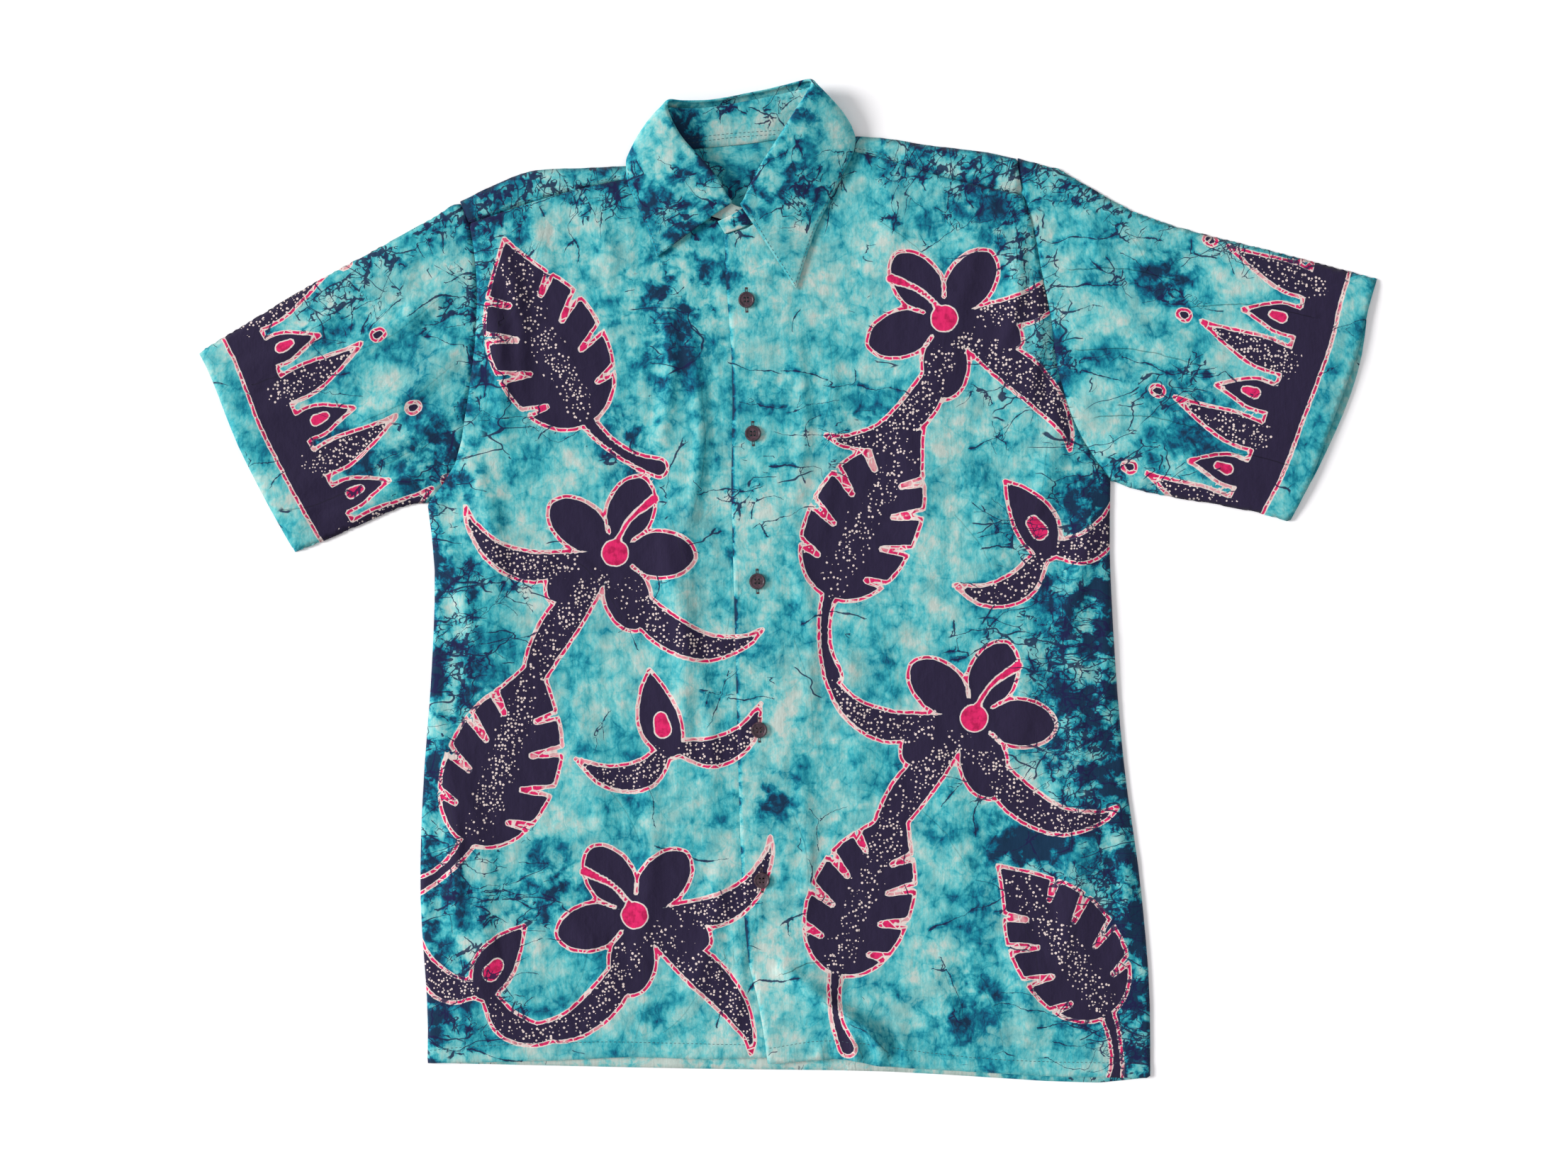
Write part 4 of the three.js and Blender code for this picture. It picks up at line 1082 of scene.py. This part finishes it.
def makeFront(side, slots=()):
    node = "front_" + side
    tucks = [(side + seam, *move) for seam, *move in fronts["tucks"]]
    bm = cutLayer(trees[node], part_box(node), fronts["cell"], tucks=tucks, slots=slots)
    verts = list(bm.verts)
    spots = garmentXY(verts)
    high = frontRelief(spots, [v.co.z for v in verts], lines[side + "HemStitch"])
    fields = printFields(spots, frontPrint) | dyeFields(spots)
    if side == "left":
        facing, overlap = fronts["facing"], fronts["overlap"]
        doubled = smoothStep(facing["edge"] + facing["soft"], facing["edge"] - facing["soft"], spots[:, 0])
        high += facing["step"] * doubled * smoothStep(facing["fadesTo"], facing["fadesFrom"], spots[:, 1])
        # painted shade: the overlap's rim, lit by the lamp, is darkened through the dye's dark field
        edge = np.array([v.is_boundary for v in verts]) & (spots[:, 1] < overlap["top"])
        edge &= (spots[:, 0] > overlap["from"]) & (spots[:, 0] < overlap["to"])
        fields["dark"] = np.maximum(fields["dark"], overlap["dark"] * edge)
    for v, h in zip(verts, high):
        v.co.z += h / 1000
    return finishCloth(bm, node, fields)


frontRight, rightTree = makeFront("right")
frontLeft, leftTree = makeFront("left", [tuple(metres(x, y)[:2]) for x, y in buttonPlaces])
print("fronts cut")

backSheet = {
    "cell": 0.0036,
    "strips": {"lowest": 0.002, "swell": 0.18, "stitch": (-0.6, 3.2), "groove": 0.22, "grooveHalf": 1.3},
    "shoulders": {"reach": 2.4, "height": 1.9, "merge": 0.0012},
    "shoulderPoints": [(-212.8, 663.4), (203.6, 684.4)], "cornerReach": 10,
    "under": {"rise": 0.12, "creaseShare": 0.16, "highest": 0.4},
    "hem": [(-256, 14), (0, 8), (120, 4), (285, -8)],
}


def makeBack():
    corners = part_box("back")
    bm = cutLayer(trees["back"], corners, backSheet["cell"], above=False, tucks=[("backNeck", 2.0, 0)])
    for v in bm.verts:
        v.co.z = 0.0
    # what is folded over the shoulders towards the fronts
    over = backSheet["strips"]
    strips = cutLayer(trees["back"], corners, backSheet["cell"], lowest=over["lowest"],
                      tucks=[("rightSeam", 0.3, 0.5), ("leftSeam", 0.3, 0.5)])
    spots = garmentXY(strips.verts)
    rows = [np.array(lines[name]) + np.array(over["stitch"]) for name in ("rightSeam", "leftSeam")]
    grooves = over["groove"] * sum(fade(lineDistance(spots, row)[0], over["grooveHalf"]) for row in rows)
    for v, groove in zip(strips.verts, grooves):
        swell = over["swell"] * noise.noise(Vector((v.co.x * 1000 / 9, v.co.y * 1000 / 7, 4.0)))
        v.co.z += (swell - groove) / 1000
    addLayer(bm, strips)
    shoulders = backSheet["shoulders"]
    joinRims(bm, ["rightShoulder", "leftShoulder"], lambda gap: gap < shoulders["reach"], shoulders["height"],
             shoulders["merge"])
    verts = list(bm.verts)
    spots = garmentXY(verts)
    for x, y in backSheet["shoulderPoints"]:  # the grid rounds these two corners, so they are drawn out again
        near = 0.8 * np.clip(1 - spotGap(spots, x, y) / backSheet["cornerReach"], 0, 1)
        point = metres(x, y)
        for v, share in zip(verts, near):
            v.co.x += (point.x - v.co.x) * share
            v.co.y += (point.y - v.co.y) * share
    # the bottom layer rests on its rim and rises in shallow creases, mirrored from those of the fronts
    under = backSheet["under"]
    mirrored = spots * np.array([-1, 1]) + np.array([30, 0])
    folds = np.minimum(under["creaseShare"] * np.abs(creaseHeight(mirrored, frontCreases)), under["highest"])
    for v, (x, y), fold in zip(verts, spots, folds):
        if v.co.z < 0.0001 and not v.is_boundary:
            rise = under["rise"] * (1 + noise.noise(Vector((x / 16, y / 24, 7.0))))
            v.co.z = (rise + fold) / 1000
    # the hem that shows below the fronts is pale, apart from its left end
    fields = dyeFields(spots)
    hemGap = spots[:, 1] - np.interp(spots[:, 0], *zip(*backSheet["hem"]))
    paler = 1.6 * smoothStep(34, 10, hemGap) * smoothStep(300, 120, spots[:, 0])
    fields["pale"] = np.maximum(fields["pale"], paler)
    fields["dark"] = fields["dark"] * smoothStep(4, 40, hemGap)
    return finishCloth(bm, "back", fields)


back, backTree = makeBack()
print("back cut")

sleeves = {
    "cell": 0.0026, "layerLowest": 0.0019,
    "creaseShare": 1.7, "underShare": 0.2, "underShift": (12, -8),
    "crumples": [(16, 0.9, 21.0, 0.34), (7.5, 0.9, 27.0, 0.17)],  # size, stretch, seed, height in mm
    "deepest": -0.25, "seamReach": 10,
    "hemFold": 21, "hemStep": 0.3, "groove": 0.25, "grooveHalf": 1.4,
    "openReach": 2.0, "foldHeight": 1.5, "merge": 0.0009,
    "tip": {"reach": 1.3, "along": 20, "across": 8},  # the grid rounds the shoulder's tip, so it is drawn out again
}


def makeSleeve(side):
    node = "sleeve_" + side
    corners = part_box(node)
    hem, armhole, upper = lines[side + "SleeveHem"], side + "Armhole", lines[side + "SleeveTop"]
    bm = cutLayer(trees[node], corners, sleeves["cell"], lowest=sleeves["layerLowest"], tucks=[(armhole, 0.9, 0.75)])
    verts = list(bm.verts)
    spots = garmentXY(verts)
    high = sleeves["creaseShare"] * creaseHeight(spots, sleeveCreases) + crumpleHeight(spots, sleeves["crumples"])
    armGap, _ = lineDistance(spots, lines[armhole])
    high = np.maximum(high, sleeves["deepest"]) * smoothStep(0, sleeves["seamReach"], armGap)
    hemGap = lineDistance(spots, hem)[0] - sleeves["hemFold"]
    high += sleeves["hemStep"] * smoothStep(1, -1, hemGap)
    high -= sleeves["groove"] * fade(hemGap, sleeves["grooveHalf"])
    for v, h in zip(verts, high):
        if not v.is_boundary:
            v.co.z += h / 1000
    under = cutLayer(trees[node], corners, sleeves["cell"], above=False)
    folds = creaseHeight(garmentXY(under.verts) + np.array(sleeves["underShift"]), sleeveCreases)
    for v, fold in zip(under.verts, folds * sleeves["underShare"]):
        v.co.z = 0.0 if v.is_boundary else fold / 1000
    addLayer(bm, under)
    joinRims(bm, [side + "SleeveHem", armhole], lambda gap: gap > sleeves["openReach"], sleeves["foldHeight"],
             sleeves["merge"])
    verts = list(bm.verts)
    spots = garmentXY(verts)
    tip = sleeves["tip"]
    run, rise = np.subtract(upper[1], upper[0])
    out = Vector((abs(rise) * np.sign(run), abs(run), 0)).normalized()
    near = np.clip(1 - spotGap(spots, *upper[0]) / tip["along"], 0, 1)
    near *= np.clip(1 - lineDistance(spots, upper)[0] / tip["across"], 0, 1)
    for v, share in zip(verts, near):
        v.co += out * (tip["reach"] * share / 1000)
    return finishCloth(bm, node, borderFields(spots, hem) | dyeFields(spots))


sleeveRight, sleeveRightTree = makeSleeve("right")
sleeveLeft, sleeveLeftTree = makeSleeve("left")
print("sleeves cut")

# dark and pale spots: x, y, radius, strength; no vein shows round the band's tab: x, y, radius
rolled = {
    "levels": 2, "joinAngle": 40, "joinShape": 60, "edgeAngle": 55, "edgeCrease": 0.75, "tab": (-8, 644, 17),
    "collar": {
        "swell": 0.16,
        "dark": [(-36, 636, 24, 0.8), (-34, 684, 20, 0.6), (-62, 664, 24, 0.4), (32, 690, 24, 0.6), (48, 726, 18, 0.7),
                 (-54, 716, 20, 0.6), (0, 650, 10, 0.6), (22, 664, 20, 0.55), (-12, 650, 12, 0.9),
                 (-80, 690, 14, 0.4), (44, 660, 18, 0.35)],
        "pale": [(36, 592, 20, 1.0), (72, 690, 12, 0.5), (-74, 650, 9, 0.6), (4, 722, 20, 0.5), (56, 640, 12, 0.4)],
    },
    "collar_band": {
        "swell": 0.08,
        "dark": [(-46, 706, 20, 0.9), (-48, 722, 14, 0.8), (-3.5, 644, 5.2, 9.0)],
        "pale": [(-11, 643, 15, 2.0), (10, 712, 26, 0.5), (10, 640, 9, 1.4)],
    },
}


def makeRolled(node):
    # collar and band: the frame's own shape, its facets rounded, its long edges kept
    bm = mergedCopy(node)
    bmesh.ops.join_triangles(bm, faces=bm.faces, angle_face_threshold=math.radians(rolled["joinAngle"]),
                             angle_shape_threshold=math.radians(rolled["joinShape"]))
    crease = bm.edges.layers.float.new("crease_edge")
    for e in bm.edges:
        if len(e.link_faces) == 2 and e.calc_face_angle(0) > math.radians(rolled["edgeAngle"]):
            e[crease] = rolled["edgeCrease"]
    rough = linked(node + "_rough", meshOf(bm, node + "_cloth"))
    rounding = rough.modifiers.new("rounding", "SUBSURF")
    rounding.levels = rounding.render_levels = rolled["levels"]
    bpy.context.view_layer.update()
    smooth = bpy.data.meshes.new_from_object(rough.evaluated_get(bpy.context.evaluated_depsgraph_get()))
    bpy.data.objects.remove(rough)
    bm = bmesh.new()
    bm.from_mesh(smooth)
    bm.normal_update()
    for v in bm.verts:
        place = v.co * 1000
        swell = noise.noise(place / 11) + 0.5 * noise.noise(place / 5)
        v.co += v.normal * (rolled[node]["swell"] * swell / 1000)
    spots = garmentXY(bm.verts)
    dark = spotField(spots, rolled[node]["dark"])
    gap, side, body = lineField(spots, veins)
    x, y, radius = rolled["tab"]
    far = np.full(len(spots), noLine)
    fields = {"dark": dark, "pale": spotField(spots, rolled[node]["pale"]), "web": 0.5 * dark - 0.5,
              "veinGap": np.where(spotGap(spots, x, y) < radius, noLine, gap), "veinSide": side, "veinBody": body,
              "foldGap": far, "foldSide": far}
    return finishCloth(bm, node, fields, 0)


collar, collarTree = makeRolled("collar")
band, bandTree = makeRolled("collar_band")
print("collar rolled")

buttonFinish = {"flat": 3, "bevelled": 40, "bevel": 0.00028, "segments": 3, "sharp": 35}  # angles in degrees


def makeButton(number):
    node = "button_" + str(number)
    bm = mergedCopy(node)
    bmesh.ops.dissolve_limit(bm, angle_limit=math.radians(buttonFinish["flat"]), verts=bm.verts, edges=bm.edges)
    bevelled = math.radians(buttonFinish["bevelled"])
    rims = [e for e in bm.edges if len(e.link_faces) == 2 and e.calc_face_angle(0) > bevelled]
    bmesh.ops.bevel(bm, geom=rims, offset=buttonFinish["bevel"], segments=buttonFinish["segments"], profile=0.5,
                    affect="EDGES", material=-1, clamp_overlap=True)
    mesh = meshOf(bm, node + "_disc")
    piece = addPiece(node + "_disc", mesh, materials["button"], node)
    mesh.set_sharp_from_angle(angle=math.radians(buttonFinish["sharp"]))
    return piece


buttons = [makeButton(k + 1) for k in range(len(buttonPlaces))]

stitching = {"length": 2.3, "gap": 0.9, "width": 0.45, "height": 0.3, "first": 0.6, "steepest": 0.0012}


def onCloth(tree, x, y, lift):
    hit = tree.ray_cast(metres(x, y, 60), Vector((0, 0, -1)))
    return None if hit[0] is None else hit[0] + Vector((0, 0, lift / 1000))


def stitchInto(bm, start, end, width, height, sides=6):
    # one stitch between two places, its width and height in mm
    along = end - start
    if along.length < 1e-6:
        return
    forward = along.normalized()
    across = Vector((0, 0, 1)).cross(forward).normalized()
    turn = Matrix((forward, across, forward.cross(across))).transposed().to_4x4()
    size = Matrix.Diagonal((along.length / 2, width / 2000, height / 2000, 1))
    bmesh.ops.create_uvsphere(bm, u_segments=sides, v_segments=5, radius=1,
                              matrix=Matrix.Translation((start + end) / 2) @ turn @ size)


def sewLine(bm, tree, line, lift):
    row = smoothRow(line, 12)
    run = runOf(row)
    at = stitching["first"]
    while at + stitching["length"] < run[-1]:
        start, end = [onCloth(tree, *pointAt(row, run, s), lift) for s in (at, at + stitching["length"])]
        if start is not None and end is not None and abs(start.z - end.z) < stitching["steepest"]:
            stitchInto(bm, start, end, stitching["width"], stitching["height"])
        at += stitching["length"] + stitching["gap"]


def sewPiece(name, rows, lift=0.02):
    bm = bmesh.new()
    for tree, line in rows:
        sewLine(bm, tree, line, lift)
    return addPiece(name, meshOf(bm, name), materials["darkThread"])


# the collar's edge on each side, and which of its places is the collar's point
collarEdges = {
    "right": ([(-3, 653), (-10, 650), (-40, 634), (-67, 617), (-73, 637), (-80, 655), (-87, 672), (-88, 684)], 3),
    "left": ([(80, 694), (77, 682), (69, 668), (60, 650), (50, 630), (36, 590), (17, 621), (6, 640), (0, 651)], 5),
}
collarRows = [(collarTree, inset(leg, -1.5)) for edge, point in collarEdges.values()
              for leg in (edge[: point + 1], edge[point:])]
bandRows = [(bandTree, [(-46, 701.5), (-10, 705.3), (27, 707.2)]), (bandTree, [(-49, 704.6), (-10, 708.2), (30, 710)]),
            (bandTree, [(-54, 727), (0, 733.2), (48, 738)])]
hemSewing = sewPiece("hem_stitching", [(rightTree, lines["rightHemStitch"]), (leftTree, lines["leftHemStitch"])])
sleeveSewing = sewPiece("sleeve_hem_stitching",
                        [(sleeveRightTree, inset(lines["rightSleeveHem"], -sleeves["hemFold"])),
                         (sleeveLeftTree, inset(lines["leftSleeveHem"], sleeves["hemFold"]))])
shoulderSewing = sewPiece("shoulder_stitching", [(backTree, inset(lines["rightSeam"], 3.0)),
                                                 (backTree, inset(lines["leftSeam"], -3.0))])
collarSewing = sewPiece("collar_stitching", collarRows, 0.03)
bandSewing = sewPiece("band_stitching", bandRows, 0.03)

buttonhole = {"length": 16, "inner": 0.12, "half": 1.3, "pitch": 0.55, "width": 0.5, "height": 0.4,
              "tacks": 4, "tackHalf": 1.4, "tackFirst": 0.2, "tackPitch": 0.35, "tackWidth": 0.5}


def makeButtonholes():
    bm = bmesh.new()
    hole = buttonhole
    for x, y in buttonPlaces:
        for k in range(int(hole["length"] / hole["pitch"]) + 1):
            py = y - hole["length"] / 2 + k * hole["pitch"]
            for side in (-1, 1):
                inner = onCloth(leftTree, x + side * hole["inner"], py, 0.05)
                outer = onCloth(leftTree, x + side * hole["half"], py + 0.1 * side, 0.02)
                if inner is not None and outer is not None:
                    stitchInto(bm, inner, outer, hole["width"], hole["height"], 5)
        for end in (-1, 1):  # bar tacks
            for k in range(hole["tacks"]):
                py = y + end * (hole["length"] / 2 + hole["tackFirst"] + hole["tackPitch"] * k)
                left, right = [onCloth(leftTree, x + side * hole["tackHalf"], py, 0.12) for side in (-1, 1)]
                stitchInto(bm, left, right, hole["tackWidth"], hole["tackWidth"], 5)
    return addPiece("buttonhole_stitching", meshOf(bm, "buttonhole_stitching"), materials["plumThread"])


buttonThread = {"reach": 1.85 * math.sqrt(0.5), "strands": (-0.22, 0.0, 0.22), "depth": 0.55, "width": 0.34,
                "height": 0.5}


def makeButtonThreads():
    bm = bmesh.new()
    reach = buttonThread["reach"]
    for number, (x, y) in enumerate(buttonPlaces):
        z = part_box("button_" + str(number + 1))[1].z * 1000 - buttonThread["depth"]
        for side in (-1, 1):
            for strand in buttonThread["strands"]:
                ends = [metres(x + side * reach + strand, y + end * reach, z) for end in (-1, 1)]
                stitchInto(bm, *ends, buttonThread["width"], buttonThread["height"])
    return addPiece("button_threads", meshOf(bm, "button_threads"), materials["plumThread"])


holeSewing = makeButtonholes()
buttonThreads = makeButtonThreads()
print("sewing done")

studio = {"floorSize": 60.0, "floorDrop": 0.0002, "sunTowards": (1.0, -0.14, -0.52), "sunAngle": 22, "sunStrength": 3.9,
          "world": 0.62, "worldColour": (1.0, 0.985, 0.995, 1.0), "camera": (-0.0082, -0.0002, 1.45),
          "frameWidth": 1.172, "sensor": 36, "roll": -1.5}


def makeFloor():
    bm = bmesh.new()
    bmesh.ops.create_grid(bm, x_segments=1, y_segments=1, size=studio["floorSize"] / 2)
    floor = linked("studio_floor", meshOf(bm, "floor"))
    floor.location.z = -studio["floorDrop"]
    material, tree, shader, place = shaderBase("pale floor", 0.9)
    tint = rangeOf(tree, noiseOf(tree, place, 3.0, 2.0), 0.3, 0.7)
    tint = blendColour(tree, tint, colour(246, 245, 247), colour(250, 249, 250))
    tree.links.new(tint, shader.inputs["Base Color"])
    floor.data.materials.append(material)


makeFloor()
light = bpy.data.lights.new("soft window", "SUN")
light.angle = math.radians(studio["sunAngle"])
light.energy = studio["sunStrength"]
lamp = linked("soft window", light)
lamp.rotation_euler = Vector(studio["sunTowards"]).to_track_quat("-Z", "Y").to_euler()
world = bpy.data.worlds.new("studio")
world.use_nodes = True
background = world.node_tree.nodes["Background"]
background.inputs["Color"].default_value = studio["worldColour"]
background.inputs["Strength"].default_value = studio["world"]
bpy.context.scene.world = world
bpy.context.scene.view_settings.view_transform = "Standard"

camera = bpy.data.cameras.new("camera")
camera.sensor_width = studio["sensor"]
camera.lens = studio["sensor"] * studio["camera"][2] / studio["frameWidth"]
view = linked("camera", camera)
view.location = studio["camera"]
view.rotation_euler = (0, 0, math.radians(studio["roll"]))
bpy.context.scene.camera = view

print("floor, light and camera set")
